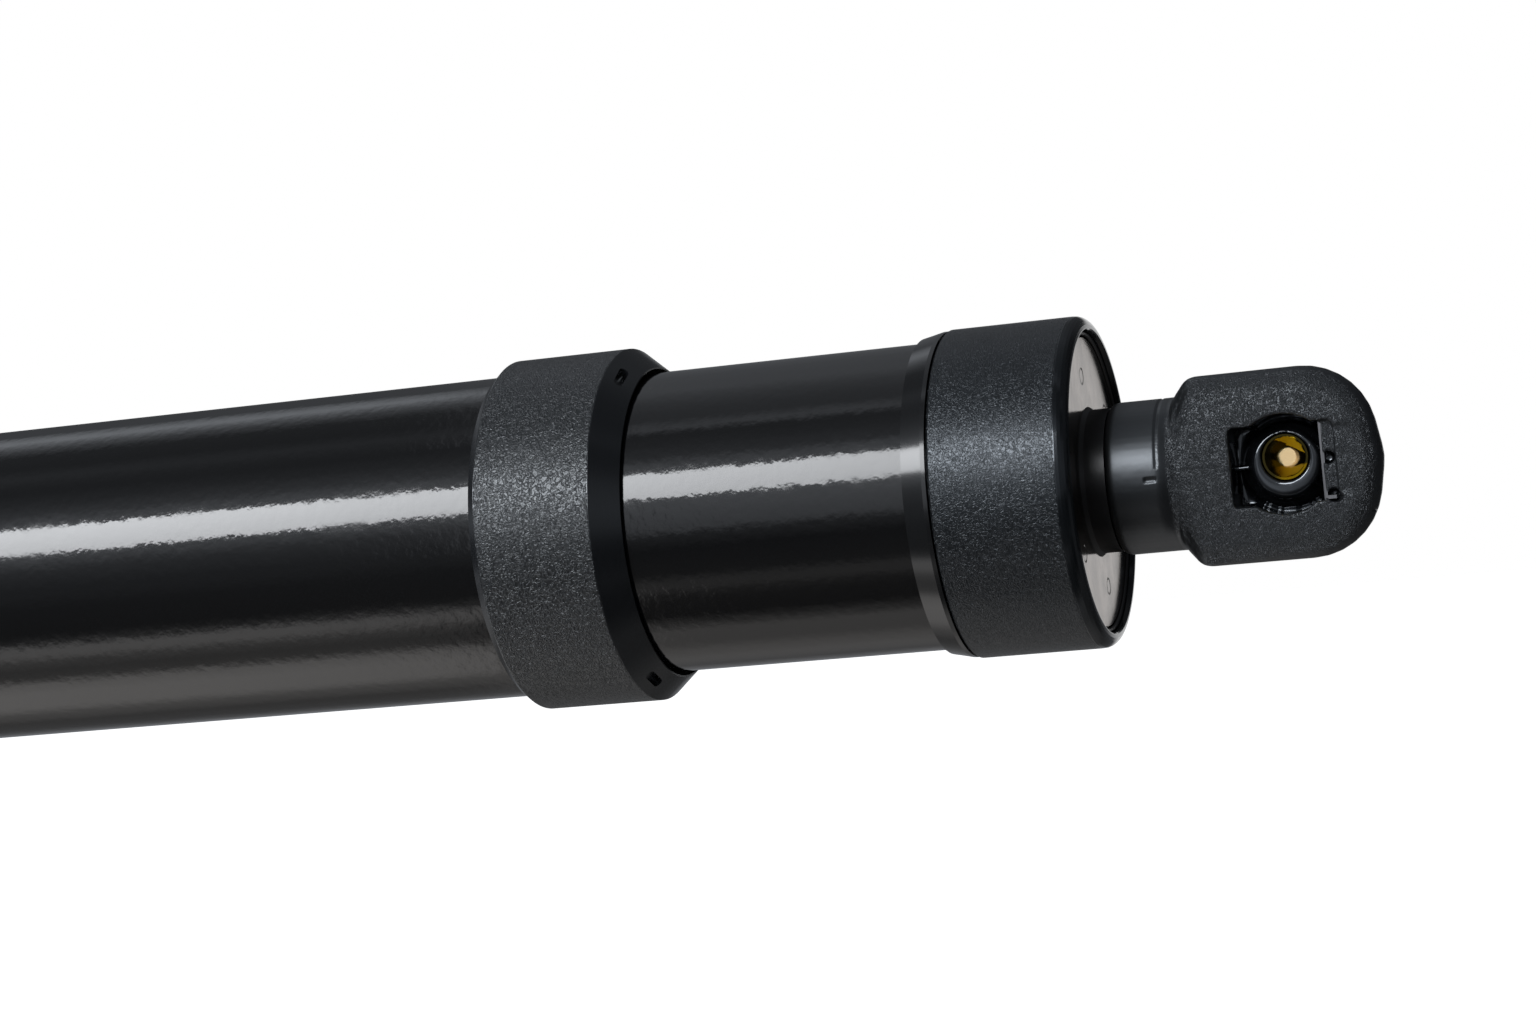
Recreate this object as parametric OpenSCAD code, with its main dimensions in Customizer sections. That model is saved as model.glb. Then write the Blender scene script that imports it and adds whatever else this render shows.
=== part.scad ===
// Power liftgate strut: two telescoping steel tubes with a ball socket on each end.
// The outer tube holds a motor, a two-stage planetary gearbox, a brake and a spindle;
// the inner tube carries the spindle nut, and a coil spring pushes the two apart.
// Millimetres. The origin is the ball centre of the drive end, +X runs along the strut
// to the rod end, the sockets' windows face -Y and their mouths face +Y.

/* [Length and travel] */
// Distance between the ball centres with the strut closed
closed_length = 490; // [486:1:510]
// How far the modelled strut is drawn out from its closed length
rest_extension = 30; // [10:1:60]
// Gap between the guide collar and the bevel ring with the strut closed
closed_gap = 4.8; // [4:0.1:10]
// Free travel kept at each end of the slide
end_clearance = 2; // [1:0.5:4]

/* [Tubes] */
// Outside diameter of the outer tube
outer_tube_d = 40.5; // [39.5:0.1:42]
// Wall of the outer tube
outer_tube_wall = 1.2; // [1:0.05:1.5]
// Wall of the inner tube
inner_tube_wall = 1.2; // [1:0.05:1.5]
// Wall of the plain bush that guides the inner tube
bush_wall = 0.3; // [0.3:0.05:0.6]
// Length of the guide bush
bush_length = 11; // [8:0.5:14]
// Length of the slide ring on the inner tube's hidden end
slide_ring_length = 12; // [8:0.5:14]
// Thickness of the slide ring's lip in front of the tube's end
slide_lip = 2; // [1:0.25:3]

/* [Guide collar] */
// Wall of the collar outside the outer tube
collar_wall = 1.8; // [1.5:0.05:2.5]
// Length of the collar over the outer tube
collar_grip = 13.4; // [10:0.1:20]
// Length of the collar in front of the outer tube's end
collar_nose = 5.4; // [4:0.1:6]
// Length of the bevel on the collar's front
collar_bevel = 3.1; // [2:0.1:3.4]
// Chamfer on the collar's back edge
collar_chamfer = 0.9; // [0.5:0.1:1.2]
// Radial gap between the collar's opening and the inner tube
collar_opening_gap = 0.5; // [0.4:0.1:1.2]
// Length of each locking slot in the bevel
slot_length = 4; // [2:0.1:5]
// Width of each locking slot in the bevel
slot_width = 1.2; // [0.8:0.1:1.5]
// Angle between a locking slot and the front or back of the strut
slot_angle = 64; // [55:1:75]
// Turn of the collar about the tube as it was screwed on
collar_turn = 2.4; // [-15:0.1:15]
// Length of the wiper seal behind the collar's lip
wiper_length = 2.4; // [2:0.1:2.6]

/* [End caps] */
// Wall of the rod end's cap outside the inner tube
rod_cap_wall = 1.3; // [1.3:0.1:2.2]
// Wall of the drive end's cap outside the outer tube
drive_cap_wall = 1.8; // [1.5:0.05:2.5]
// Length of an end cap
cap_length = 16.7; // [15:0.1:20]
// Radius on a cap's outer rim
cap_rim_r = 1.5; // [0.5:0.1:1.6]
// Height of a cap's rim over the end plate
rim_height = 1; // [0.4:0.1:1.5]
// Thickness of the metal end plate
plate_thickness = 0.8; // [0.6:0.1:1.2]
// Cord radius of the O-ring round the end plate
o_ring_r = 0.3; // [0.2:0.02:0.4]
// Length of the dark seal between the end plate and the neck
neck_seal_length = 2.9; // [2:0.1:4]
// Length of the gloss bevel ring behind the rod end's cap
bevel_ring_length = 3; // [2:0.1:4]
// Length of the rod end's plug inside the inner tube
rod_plug_length = 13.3; // [12:0.1:18]
// Length of the drive end's plug inside the outer tube
drive_plug_length = 18.8; // [16:0.1:24]
// Diameter of the threaded stud that holds each socket
stud_d = 8; // [6:0.5:9]
// Outside diameter of the cable gland in the drive end
gland_d = 7.6; // [7:0.1:8]
// Bore of the cable gland
gland_bore_d = 5; // [4:0.1:5.6]
// Distance of the cable gland from the strut's axis
gland_offset = 13.4; // [13.2:0.1:14]

/* [Ball sockets] */
// Diameter of the ball that a socket takes
ball_d = 10; // [9.6:0.1:10.4]
// Width of a socket's head
socket_width = 22.4; // [21.6:0.1:24]
// Thickness of a socket's head, from its window to its mouth
socket_depth = 18.6; // [18.4:0.1:20]
// Reach of a socket's tip past the ball centre
socket_tip = 11.3; // [10.8:0.1:12.4]
// How much shorter the head's tip is at the mouth than at the window
tip_draft = 1.4; // [0:0.1:2]
// Radius on the edges of a socket's head
socket_edge_r = 3; // [2:0.1:3.5]
// Diameter of a socket's neck
neck_d = 18.3; // [17:0.1:18.4]
// Distance from the ball centre to the end of the neck
neck_length = 21; // [20:0.1:23]
// Diameter of the countersunk entry that a ball goes in by
entry_d = 13.2; // [12.8:0.1:13.6]
// Length of the ball entry
entry_length = 3.8; // [3:0.1:4.5]
// Wall of the metal liner round the ball
liner_wall = 0.84; // [0.6:0.02:1]
// Wall of the dome over the liner in the window
dome_wall = 0.95; // [0.7:0.05:1.1]
// Radius of the dome's collar in the window
collar_ring_r = 4.1; // [3.9:0.1:4.4]
// Radius of the opening in the dome
dome_opening_r = 2.8; // [2.4:0.1:3]
// Height of the window in the head
window_height = 9.2; // [8.8:0.1:10.4]
// Length of the ramp that leads into the window from the tip
ramp_length = 3.4; // [3:0.1:3.6]
// Thickness of the spring steel clip
clip_thickness = 0.4; // [0.3:0.05:0.6]

/* [Spindle drive] */
// Outside diameter of the spindle
spindle_d = 10; // [9:0.1:10.4]
// Diameter of the spindle's journal in its bearing
journal_d = 8; // [7.6:0.1:8.2]
// Length of the spindle nut
nut_length = 24; // [18:0.5:28]
// Width of the nut's two keys
key_width = 3.8; // [3:0.1:5]
// Wall of the push tube between the nut and the rod end
push_tube_wall = 1.9; // [1.4:0.1:2.2]
// Wall of the slotted guide tube round the nut
guide_tube_wall = 1.25; // [1:0.05:1.5]
// Wire of the coil spring
spring_wire_d = 2.8; // [2.4:0.1:3]
// Turns of the coil spring
spring_turns = 30; // [24:1:34]
// Thickness of each spring seat
spring_seat = 2; // [1.5:0.1:3]
// Length of the bearing housing
bearing_housing_length = 26; // [25:0.5:30]
// Number of balls in the spindle bearing
bearing_balls = 7; // [6:1:7]

/* [Motor, gears and brake] */
// Space for the wires between the drive end's plug and the motor
wiring_space = 6.5; // [4:0.5:10]
// Width of the gap round the motor, which its rubber mounts fill
motor_gap = 2.75; // [2:0.05:3.2]
// Length of the motor's steel can
motor_length = 66; // [60:0.5:70]
// Wall of the motor's can
motor_wall = 1.5; // [1:0.1:2]
// Distance from the motor's closed end to its magnets
magnet_inset = 10; // [7:0.5:12]
// Room for the brushes between the magnets and the end bell
brush_room = 18; // [16:0.5:20]
// Width of each rubber mount round the motor
mount_width = 6; // [4:0.5:8]
// Thickness of the motor's end bell
end_bell = 3; // [2.5:0.1:4]
// Number of poles and commutator bars on the armature
armature_poles = 5; // [3:2:7]
// Module of the gears
gear_module = 0.7; // [0.65:0.01:0.74]
// Teeth on each sun gear
sun_teeth = 12; // [12:3:15]
// Teeth on each planet gear
planet_teeth = 12; // [12:3:12]
// Pressure angle of the gears
pressure_angle = 25; // [22:0.5:26]
// Thinning of each tooth flank, which gives the backlash
flank_play = 0.05; // [0.03:0.01:0.08]
// Face width of the planet gears
gear_width = 8; // [6:0.5:9]
// Diameter of the planet gears' pins
planet_pin_d = 3; // [2.5:0.1:3.4]
// Length of the brake housing
brake_length = 15.5; // [14:0.5:18]
// Diameter of the brake disc
brake_disc_d = 29; // [26:0.5:30]
// Length of the coupling between gearbox and spindle
coupling_length = 20.2; // [18:0.1:24]
// Outside diameter of the coupling
coupling_d = 18; // [16:0.5:20]

/* [Hidden] */
$fn = 96;

// Clearances: a pressed seat, a running fit, and room between pieces that move apart
seat_gap = 0.02;
fit_gap = 0.05;
free_gap = 0.4;

// Radii, from the outer tube inwards
tube_r = outer_tube_d / 2;
tube_bore_r = tube_r - outer_tube_wall;
rod_r = tube_bore_r - bush_wall - fit_gap;
rod_bore_r = rod_r - inner_tube_wall;
spring_mean_r = rod_bore_r - 0.6 - spring_wire_d / 2;
guide_r = spring_mean_r - spring_wire_d / 2 - 1.3;
guide_bore_r = guide_r - guide_tube_wall;
spindle_r = spindle_d / 2;
journal_r = journal_d / 2;
push_bore_r = spindle_r + 0.6;
push_r = push_bore_r + push_tube_wall;
collar_r = tube_r + collar_wall;

// Distances from a ball centre back along the strut, the same at both ends
plate_face = neck_length + neck_seal_length;
plate_back = plate_face + plate_thickness;
tube_setback = plate_back + 0.7;
rim_at = plate_face - rim_height;
cap_back = rim_at + cap_length;
bevel_ring_front = cap_back + 0.2;
bevel_ring_back = bevel_ring_front + bevel_ring_length;
stud_r = stud_d / 2;
stud_inner = ball_d / 2 + 3.5;
drive_stud_grip = 10;

// Stations along the outer tube's own pieces
drive_plug_end = plate_back + drive_plug_length;
motor_x = drive_plug_end + wiring_space;
bell_x = motor_x + motor_length;
gearbox_x = bell_x + end_bell;
first_planets_x = gearbox_x + 5;
carrier_plate = 2.5;
first_plate_x = first_planets_x + gear_width + free_gap;
second_planets_x = first_plate_x + carrier_plate + 0.6;
second_plate_x = second_planets_x + gear_width + free_gap;
gearbox_wall_x = second_plate_x + carrier_plate + 1.6;
gearbox_wall = 2.5;
brake_x = gearbox_wall_x + gearbox_wall;
coupling_x = brake_x + brake_length + 0.8;
coupling_end = coupling_x + coupling_length;
bearing_housing_x = coupling_end + 1;
bearing_housing_end = bearing_housing_x + bearing_housing_length;
bearing_width = 7;
bearing_x = bearing_housing_x + 8;
spigot_length = 8;
guide_tube_x = bearing_housing_end - spigot_length;
drive_seat_end = bearing_housing_end + spring_seat;

// Stations of the collar, from the closed length
collar_front = closed_length - bevel_ring_back - closed_gap;
outer_tube_end = collar_front - collar_nose;
bush_x = outer_tube_end - bush_length;
guide_tube_end = closed_length - plate_back - rod_plug_length - 6;

// Stations of the sliding pieces in the modelled pose
closed_slide_x = drive_seat_end + 1;
stroke = bush_x - end_clearance - closed_slide_x - slide_ring_length;
slide_x = closed_slide_x + rest_extension;
rod_ball_x = closed_length + rest_extension;
inner_tube_x = slide_x + slide_lip;
inner_tube_end = rod_ball_x - tube_setback;
nut_x = slide_x;
push_tube_x = nut_x + nut_length - 6;
rod_plug_x = rod_ball_x - plate_back - rod_plug_length;
rod_seat_x = rod_plug_x - spring_seat;
push_tube_seat = 6.4;
push_tube_end = rod_plug_x + push_tube_seat;
spindle_end = guide_tube_end;
end_ring_length = 5;
key_r = guide_r - 0.2;

echo(closed_length = closed_length, stroke = stroke, rest_extension = rest_extension);

// Turned pieces lie along X. A profile is a list of [distance along X, radius].
module turned(profile) {
    rotate([0, 90, 0])
        rotate_extrude()
            polygon([for (p = profile) [p[1], p[0]]]);
}

module rod_x(x, length, r) {
    translate([x, 0, 0])
        rotate([0, 90, 0])
            cylinder(h = length, r = r);
}

module tube_x(x, length, r_out, r_in) {
    difference() {
        rod_x(x, length, r_out);
        rod_x(x - 1, length + 2, r_in);
    }
}

// An outline drawn in YZ and drawn out along +X from x
module drawn_x(x, length) {
    translate([x, 0, 0])
        rotate([90, 0, 90])
            linear_extrude(length)
                children();
}

// An outline drawn in XZ and drawn out along +Y from y
module drawn_y(y, length) {
    translate([0, y + length, 0])
        rotate([90, 0, 0])
            linear_extrude(length)
                children();
}

// A quarter round of radius r about [x, radius], as profile points from angle a to b
function round_points(x, radius, r, a, b, steps = 6) =
    [for (i = [0:steps]) let (t = a + (b - a) * i / steps) [x + r * cos(t), radius + r * sin(t)]];

// End pieces are drawn with the ball centre as origin and the socket's tip towards +X
module at_rod_end() {
    translate([rod_ball_x, 0, 0])
        children();
}

module at_drive_end() {
    mirror([1, 0, 0])
        children();
}

// Socket head: a flat-sided head with rounded edges, drawn out to the round neck
head_z = socket_width / 2;
head_y = socket_depth / 2;
nose_r = 8.5;
shoulder_x = -12.5;
neck_start = shoulder_x - 0.6;
neck_r = neck_d / 2;
liner_r = ball_d / 2 + 0.06 + liner_wall;
cavity_r = liner_r + 0.05;
dome_r = cavity_r + dome_wall;
entry_r = entry_d / 2;
window_y = -2.9;
window_left = -6.1;
window_right = 5.8;
window_r = window_height / 2 + 1.2;
collar_ring_y = -dome_r - 0.1;
ramp_r = 12;
cup_z = 0.8;
cup_y = collar_ring_y + 0.3;
clip_leg = 0.8;
clip_bridge_x = collar_ring_r + 0.2;
clip_z = window_height / 2 - 0.1 - clip_thickness;
clip_x = window_right - 0.1 - clip_leg;
clip_tab_y = 3.4;

module rounded_disc(x, z, r) {
    for (side = [-1, 1])
        translate([x - (side > 0 ? tip_draft : 0), side * (head_y - socket_edge_r), z])
            rotate([90, 0, 0])
                rotate_extrude($fn = 32)
                    translate([r - socket_edge_r, 0])
                        circle(socket_edge_r, $fn = 32);
}

module rounded_corner(x, z) {
    for (side = [-1, 1])
        translate([x, side * (head_y - socket_edge_r), z])
            sphere(socket_edge_r, $fn = 24);
}

module socket_head() {
    hull() {
        for (side = [-1, 1]) {
            rounded_disc(socket_tip - 0.5 - nose_r, side * (head_z - nose_r), nose_r);
            rounded_corner(shoulder_x + socket_edge_r, side * (head_z - socket_edge_r));
        }
        rounded_disc(socket_tip - nose_r + 2, 0, nose_r - 2);
        translate([neck_start, 0, 0])
            rotate([0, 90, 0])
                cylinder(h = 0.1, r = neck_r, $fn = 64);
    }
    turned(concat(
        [[neck_start, 0], [neck_start, neck_r - 0.01]],
        round_points(1 - neck_length, neck_r - 1, 1, 90, 180),
        [[-neck_length, 0]]
    ));
}

// The window: a rectangle joined with a circle, and a ramp that leads in from the tip
module window_pocket() {
    drawn_y(-head_y - 1, head_y + 1 + window_y) {
        translate([window_left, -window_height / 2])
            square([window_right - window_left, window_height]);
        circle(window_r);
    }
    intersection() {
        translate([0, 0, 0.5 - window_height / 2])
            linear_extrude(window_height - 1)
                polygon([
                    [window_right - 0.1, -head_y - 1], [window_right + ramp_length + 1, -head_y - 1],
                    [window_right + ramp_length, -head_y + 0.2], [window_right - 0.1, -head_y + 2.6]
                ]);
        translate([window_right + ramp_length - ramp_r, 0, 0])
            rotate([90, 0, 0])
                cylinder(h = head_y + 1, r = ramp_r, $fn = 96);
    }
    for (z = [0.3, 0.6 - window_height / 2])
        translate([window_right, -head_y + 5, z])
            rotate([90, 0, 0])
                cylinder(h = 6, r = 0.9);
}

// Slots for the clip: its two legs go through the window's floor, its tabs lie in the mouth
module clip_slots() {
    for (side = [-1, 1])
        translate([clip_x - 0.15, 0, side * (clip_z + clip_thickness / 2)]) {
            translate([0, window_y - 0.2, -clip_thickness / 2 - 0.15])
                cube([clip_leg + 0.3, clip_tab_y + 1 - window_y, clip_thickness + 0.3]);
            translate([-2.6, clip_tab_y - 0.2, -clip_thickness / 2 - (side > 0 ? 0.7 : 0.15)])
                cube([clip_leg + 2.9, 1.2, clip_thickness + 0.85]);
        }
}

// Dome over the liner: a broad foot that narrows to a collar round the opening
module liner_dome() {
    rotate([90, 0, 0])
        rotate_extrude()
            polygon([
                [0, -window_y - 0.6], [dome_r - 1.2, -window_y - 0.6], [dome_r - 1.2, -window_y + 0.1],
                [collar_ring_r + 0.8, dome_r - 2], [collar_ring_r + 0.1, dome_r - 1.3],
                [collar_ring_r, dome_r - 0.5], [collar_ring_r - 0.4, -collar_ring_y], [0, -collar_ring_y]
            ]);
}

module socket_body() {
    color("#202123")
        difference() {
            union() {
                difference() {
                    socket_head();
                    window_pocket();
                }
                liner_dome();
                translate([window_left - 0.5, -6.4, -0.3])
                    cube([3.4, 3, 0.5]);
                translate([collar_ring_r - 0.6, -5.2, 0.1])
                    cube([window_right - collar_ring_r + 1, 2.2, 0.5]);
            }
            sphere(cavity_r);
            translate([0, -dome_r - 1, cup_z])
                rotate([-90, 0, 0])
                    cylinder(h = dome_r - 1, r = dome_opening_r);
            rotate([-90, 0, 0])
                cylinder(h = head_y, r = cavity_r + 0.05);
            translate([0, head_y - 0.7 - entry_length, 0])
                rotate([-90, 0, 0])
                    cylinder(h = entry_length + 2, r = entry_r);
            translate([0, head_y - 0.7, 0])
                rotate([-90, 0, 0])
                    cylinder(h = 0.8, r1 = entry_r, r2 = entry_r + 0.8);
            clip_slots();
            rod_x(-neck_length - 1, neck_length + 1 - stud_inner + 0.3, stud_r + seat_gap);
        }
}

// Metal liner that the ball turns in, with a cone-shaped cup that shows in the dome's opening
module seat_liner() {
    cup_r = dome_opening_r - 0.15;
    color("#c79a2b")
        rotate([90, 0, 0])
            difference() {
                union() {
                    rotate_extrude()
                        intersection() {
                            circle(liner_r);
                            translate([0, -1])
                                square(2 * liner_r);
                        }
                    translate([0, cup_z, 0])
                        cylinder(h = -cup_y, r = cup_r);
                }
                sphere(ball_d / 2 + 0.06);
                translate([0, 0, -2 * liner_r])
                    cylinder(h = 2 * liner_r, r = ball_d / 2 + 0.06);
                translate([0, cup_z, ball_d / 2 + 0.4])
                    cylinder(h = -cup_y - ball_d / 2 - 0.4, r1 = 1.1, r2 = cup_r - 0.25);
                translate([0, cup_z, -cup_y - 0.001])
                    cylinder(h = 1, r = cup_r - 0.25);
            }
}

// Spring steel clip: a bridge seen edge-on in the window, two legs and two inward tabs
module retaining_clip() {
    bridge_y = -head_y + 1;
    bridge_depth = head_y - 1 - (dome_r - 1.3) - 0.1;
    color("#b9bcc0") {
        translate([clip_bridge_x, bridge_y, -clip_z - clip_thickness])
            cube([clip_thickness, bridge_depth, 2 * (clip_z + clip_thickness)]);
        for (side = [-1, 1]) {
            translate([clip_bridge_x, bridge_y, side > 0 ? clip_z : -clip_z - clip_thickness])
                cube([clip_x + clip_leg - clip_bridge_x, bridge_depth, clip_thickness]);
            translate([clip_x, bridge_y, side > 0 ? clip_z : -clip_z - clip_thickness])
                cube([clip_leg, clip_tab_y + 0.8 - bridge_y, clip_thickness]);
            translate([clip_x - 2.4, clip_tab_y, side > 0 ? clip_z - 0.5 : -clip_z - clip_thickness])
                cube([clip_leg + 2.4, 0.8, clip_thickness + 0.5]);
        }
    }
}

// End cap: a moulded sleeve over the tube, with a round rim and a lip round the end plate
module end_cap(r_tube, wall) {
    r = r_tube + wall;
    lip_r = r_tube - 0.45;
    color("#232426")
        turned(concat(
            [[-cap_back, r_tube + seat_gap], [-cap_back, r - 0.3], [-cap_back + 0.3, r]],
            round_points(-rim_at - cap_rim_r, r - cap_rim_r, cap_rim_r, 90, 0),
            [
                [-rim_at, lip_r + 0.15], [-rim_at - 0.15, lip_r],
                [-tube_setback + 0.1, lip_r], [-tube_setback + 0.1, r_tube + seat_gap]
            ]
        ));
}

module end_plate(r_tube) {
    color("#c9c3b6")
        turned([
            [-plate_back, stud_r + 0.1], [-plate_back, r_tube - 1.1],
            [-plate_face - 0.2, r_tube - 1.1], [-plate_face, r_tube - 1.3],
            [-plate_face, stud_r + 0.1]
        ]);
}

module o_ring(r_tube) {
    color("#101010")
        translate([-plate_face, 0, 0])
            rotate([0, 90, 0])
                rotate_extrude()
                    translate([r_tube - 0.75, 0])
                        circle(o_ring_r - 0.01, $fn = 24);
}

module neck_seal() {
    color("#151515")
        turned([
            [-plate_face, stud_r + 0.1], [-plate_face, neck_r - 0.1],
            [-plate_face + 0.5, neck_r - 0.5], [-neck_length, neck_r - 0.5],
            [-neck_length, stud_r + 0.1]
        ]);
}

// Stud that screws into the plug and the socket's neck
module stud(back) {
    color("#9a9c9f")
        turned([
            [-back, 0], [-back, stud_r - 0.5], [-back + 0.5, stud_r],
            [-stud_inner - 0.5, stud_r], [-stud_inner, stud_r - 0.5], [-stud_inner, 0]
        ]);
}

// Outer tube and the pieces at its mouth
module outer_tube() {
    color("#1b1d22")
        tube_x(tube_setback, outer_tube_end - tube_setback, tube_r, tube_bore_r);
}

module collar_slot() {
    slope = atan2(collar_bevel, collar_r - rod_r - collar_opening_gap - 0.2);
    middle_r = (collar_r + rod_r + collar_opening_gap + 0.2) / 2;
    straight = slot_length - slot_width;
    translate([collar_front - collar_bevel / 2, middle_r, 0])
        rotate([0, 0, 90 - slope])
            translate([-1, 0, 0]) {
                translate([0, -slot_width / 2, -straight / 2])
                    cube([2.2, slot_width, straight]);
                for (side = [-1, 1])
                    translate([0, 0, side * straight / 2])
                        rotate([0, 90, 0])
                            cylinder(h = 2.2, d = slot_width, $fn = 32);
            }
}

module guide_collar() {
    lip_r = rod_r + collar_opening_gap;
    color("#26272a")
        difference() {
            turned([
                [outer_tube_end - collar_grip, tube_r + seat_gap],
                [outer_tube_end - collar_grip, collar_r - collar_chamfer],
                [outer_tube_end - collar_grip + collar_chamfer + 0.1, collar_r],
                [collar_front - collar_bevel, collar_r],
                [collar_front, lip_r + 0.2], [collar_front, lip_r],
                [outer_tube_end + wiper_length, lip_r],
                [outer_tube_end + wiper_length, tube_r + seat_gap]
            ]);
            for (side = [0, 180], angle = [-slot_angle, slot_angle])
                rotate([collar_turn + side + angle, 0, 0])
                    collar_slot();
        }
}

module wiper_seal() {
    r_in = rod_r + fit_gap;
    color("#131313")
        turned([
            [outer_tube_end, r_in + 0.5], [outer_tube_end, tube_r],
            [outer_tube_end + wiper_length, tube_r],
            [outer_tube_end + wiper_length, r_in], [outer_tube_end + wiper_length - 1, r_in]
        ]);
}

module guide_bush() {
    color("#6f6a5c")
        tube_x(bush_x, bush_length, tube_bore_r - seat_gap, rod_r + fit_gap);
}

// Drive end: plug, cap, plate and gland
module drive_end_plug() {
    color("#8f9194")
        at_drive_end()
            difference() {
                turned([
                    [-drive_plug_end, 0], [-drive_plug_end, tube_bore_r - 0.6],
                    [-drive_plug_end + 0.6, tube_bore_r - seat_gap],
                    [-plate_back, tube_bore_r - seat_gap], [-plate_back, 0]
                ]);
                rod_x(-plate_back - drive_stud_grip - 1, drive_stud_grip + 2, stud_r + seat_gap);
                translate([0, -gland_offset, 0])
                    rod_x(-drive_plug_end - 1, drive_plug_length + 2, gland_d / 2 - 0.6);
            }
}

module drive_end_cap() {
    at_drive_end()
        end_cap(tube_r, drive_cap_wall);
}

module drive_end_plate() {
    at_drive_end()
        difference() {
            end_plate(tube_r);
            translate([0, -gland_offset, 0])
                rod_x(-plate_back - 1, plate_thickness + 2, gland_d / 2 - 0.6 + seat_gap);
        }
}

module drive_o_ring() {
    at_drive_end()
        o_ring(tube_r);
}

module drive_neck_seal() {
    at_drive_end()
        neck_seal();
}

module cable_gland() {
    r = gland_d / 2;
    color("#141414")
        at_drive_end()
            translate([0, -gland_offset, 0])
                turned([
                    [-plate_back - 6, gland_bore_d / 2], [-plate_back - 6, r - 0.6 - seat_gap],
                    [-plate_face, r - 0.6 - seat_gap], [-plate_face, r],
                    [-plate_face + 0.9, r], [-plate_face + 1.4, r - 0.5],
                    [-plate_face + 1.4, gland_bore_d / 2]
                ]);
}

module drive_stud() {
    at_drive_end()
        stud(plate_back + drive_stud_grip);
}

module drive_socket() {
    at_drive_end()
        socket_body();
}

module drive_seat_liner() {
    at_drive_end()
        seat_liner();
}

module drive_clip() {
    at_drive_end()
        retaining_clip();
}

// Motor: a can with four magnets and an end bell that carries the brushes
motor_r = tube_bore_r - motor_gap;
shaft_r = 1.6;
magnet_x = motor_x + magnet_inset;
magnet_length = motor_length - magnet_inset - brush_room;
magnet_r = motor_r - motor_wall - seat_gap;
magnet_wall = 1.5;
core_r = magnet_r - magnet_wall - 0.6;
commutator_x = magnet_x + magnet_length + 5;
commutator_length = 8;
commutator_r = 5;

module motor_can() {
    color("#a9abad")
        difference() {
            rod_x(motor_x, motor_length, motor_r);
            rod_x(motor_x + motor_wall, motor_length, motor_r - motor_wall);
            rod_x(motor_x - 1, motor_wall + 2, shaft_r + fit_gap);
        }
}

module motor_end_bell() {
    color("#303236")
        difference() {
            union() {
                rod_x(bell_x, end_bell, motor_r);
                tube_x(bell_x - 4, 4, motor_r - motor_wall - seat_gap, motor_r - motor_wall - 1.5);
                rod_x(bell_x - 2, 3, 5);
            }
            rod_x(bell_x - 3, end_bell + 4, shaft_r + fit_gap);
        }
}

module motor_magnets() {
    color("#4a4b4e")
        for (k = [0:3])
            rotate([90 * k, 0, 0])
                intersection() {
                    tube_x(magnet_x, magnet_length, magnet_r, magnet_r - magnet_wall);
                    translate([magnet_x, 0, -magnet_r * sin(36)])
                        cube([magnet_length, motor_r, 2 * magnet_r * sin(36)]);
                }
}

module motor_brushes() {
    color("#3a3532")
        for (side = [0, 180])
            rotate([side, 0, 0])
                difference() {
                    translate([commutator_x + 2, -1.6, 0])
                        cube([4, 3.2, motor_r - motor_wall - 0.2]);
                    rod_x(commutator_x, commutator_length, commutator_r + fit_gap);
                }
}

// Rubber rings that hold the motor quietly in the tube
module motor_mounts() {
    color("#161616")
        for (x = [motor_x + mount_width, bell_x - 2 * mount_width])
            tube_x(x, mount_width, tube_bore_r - seat_gap, motor_r + seat_gap);
}

module armature_shaft() {
    color("#b7b9bc")
        rod_x(motor_x - 1, first_planets_x + gear_width - motor_x + 1, shaft_r);
}

// Slotted core with a winding head at each end
module armature_core() {
    color("#6b4a35") {
        drawn_x(magnet_x + 2, magnet_length - 4)
            difference() {
                circle(core_r);
                circle(shaft_r + seat_gap);
                for (k = [1:armature_poles])
                    rotate(360 * (k - 0.5) / armature_poles) {
                        translate([core_r - 1.5, -0.6])
                            square([3, 1.2]);
                        translate([core_r * 0.68, 0])
                            circle(core_r * 0.18);
                    }
            }
        for (x = [magnet_x - 1, magnet_x + magnet_length - 2])
            tube_x(x, 3, core_r * 0.86, shaft_r + 1);
    }
}

module commutator() {
    bar_gap = 0.5;
    color("#b4713c")
        difference() {
            tube_x(commutator_x, commutator_length, commutator_r, shaft_r + seat_gap);
            for (k = [1:armature_poles])
                rotate([360 * k / armature_poles, 0, 0])
                    translate([commutator_x - 1, commutator_r - 1, -bar_gap / 2])
                        cube([commutator_length + 2, 2, bar_gap]);
        }
}

// Gears with involute flanks. A radius's involute angle is in degrees.
ring_teeth = sun_teeth + 2 * planet_teeth;
planet_orbit = gear_module * (sun_teeth + planet_teeth) / 2;
planet_pin_r = planet_pin_d / 2;
addendum = 0.9 * gear_module;
dedendum = 1.2 * gear_module;

function involute(r, base_r) =
    let (a = acos(min(1, base_r / r))) tan(a) * 180 / PI - a;

// Half the angle that a tooth takes at radius r, thinned by play on each flank
function half_tooth(teeth, r, play) =
    let (pitch_r = gear_module * teeth / 2, base_r = pitch_r * cos(pressure_angle))
    90 / teeth + involute(pitch_r, base_r) - involute(max(r, base_r), base_r)
        - play / pitch_r * 180 / PI;

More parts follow.
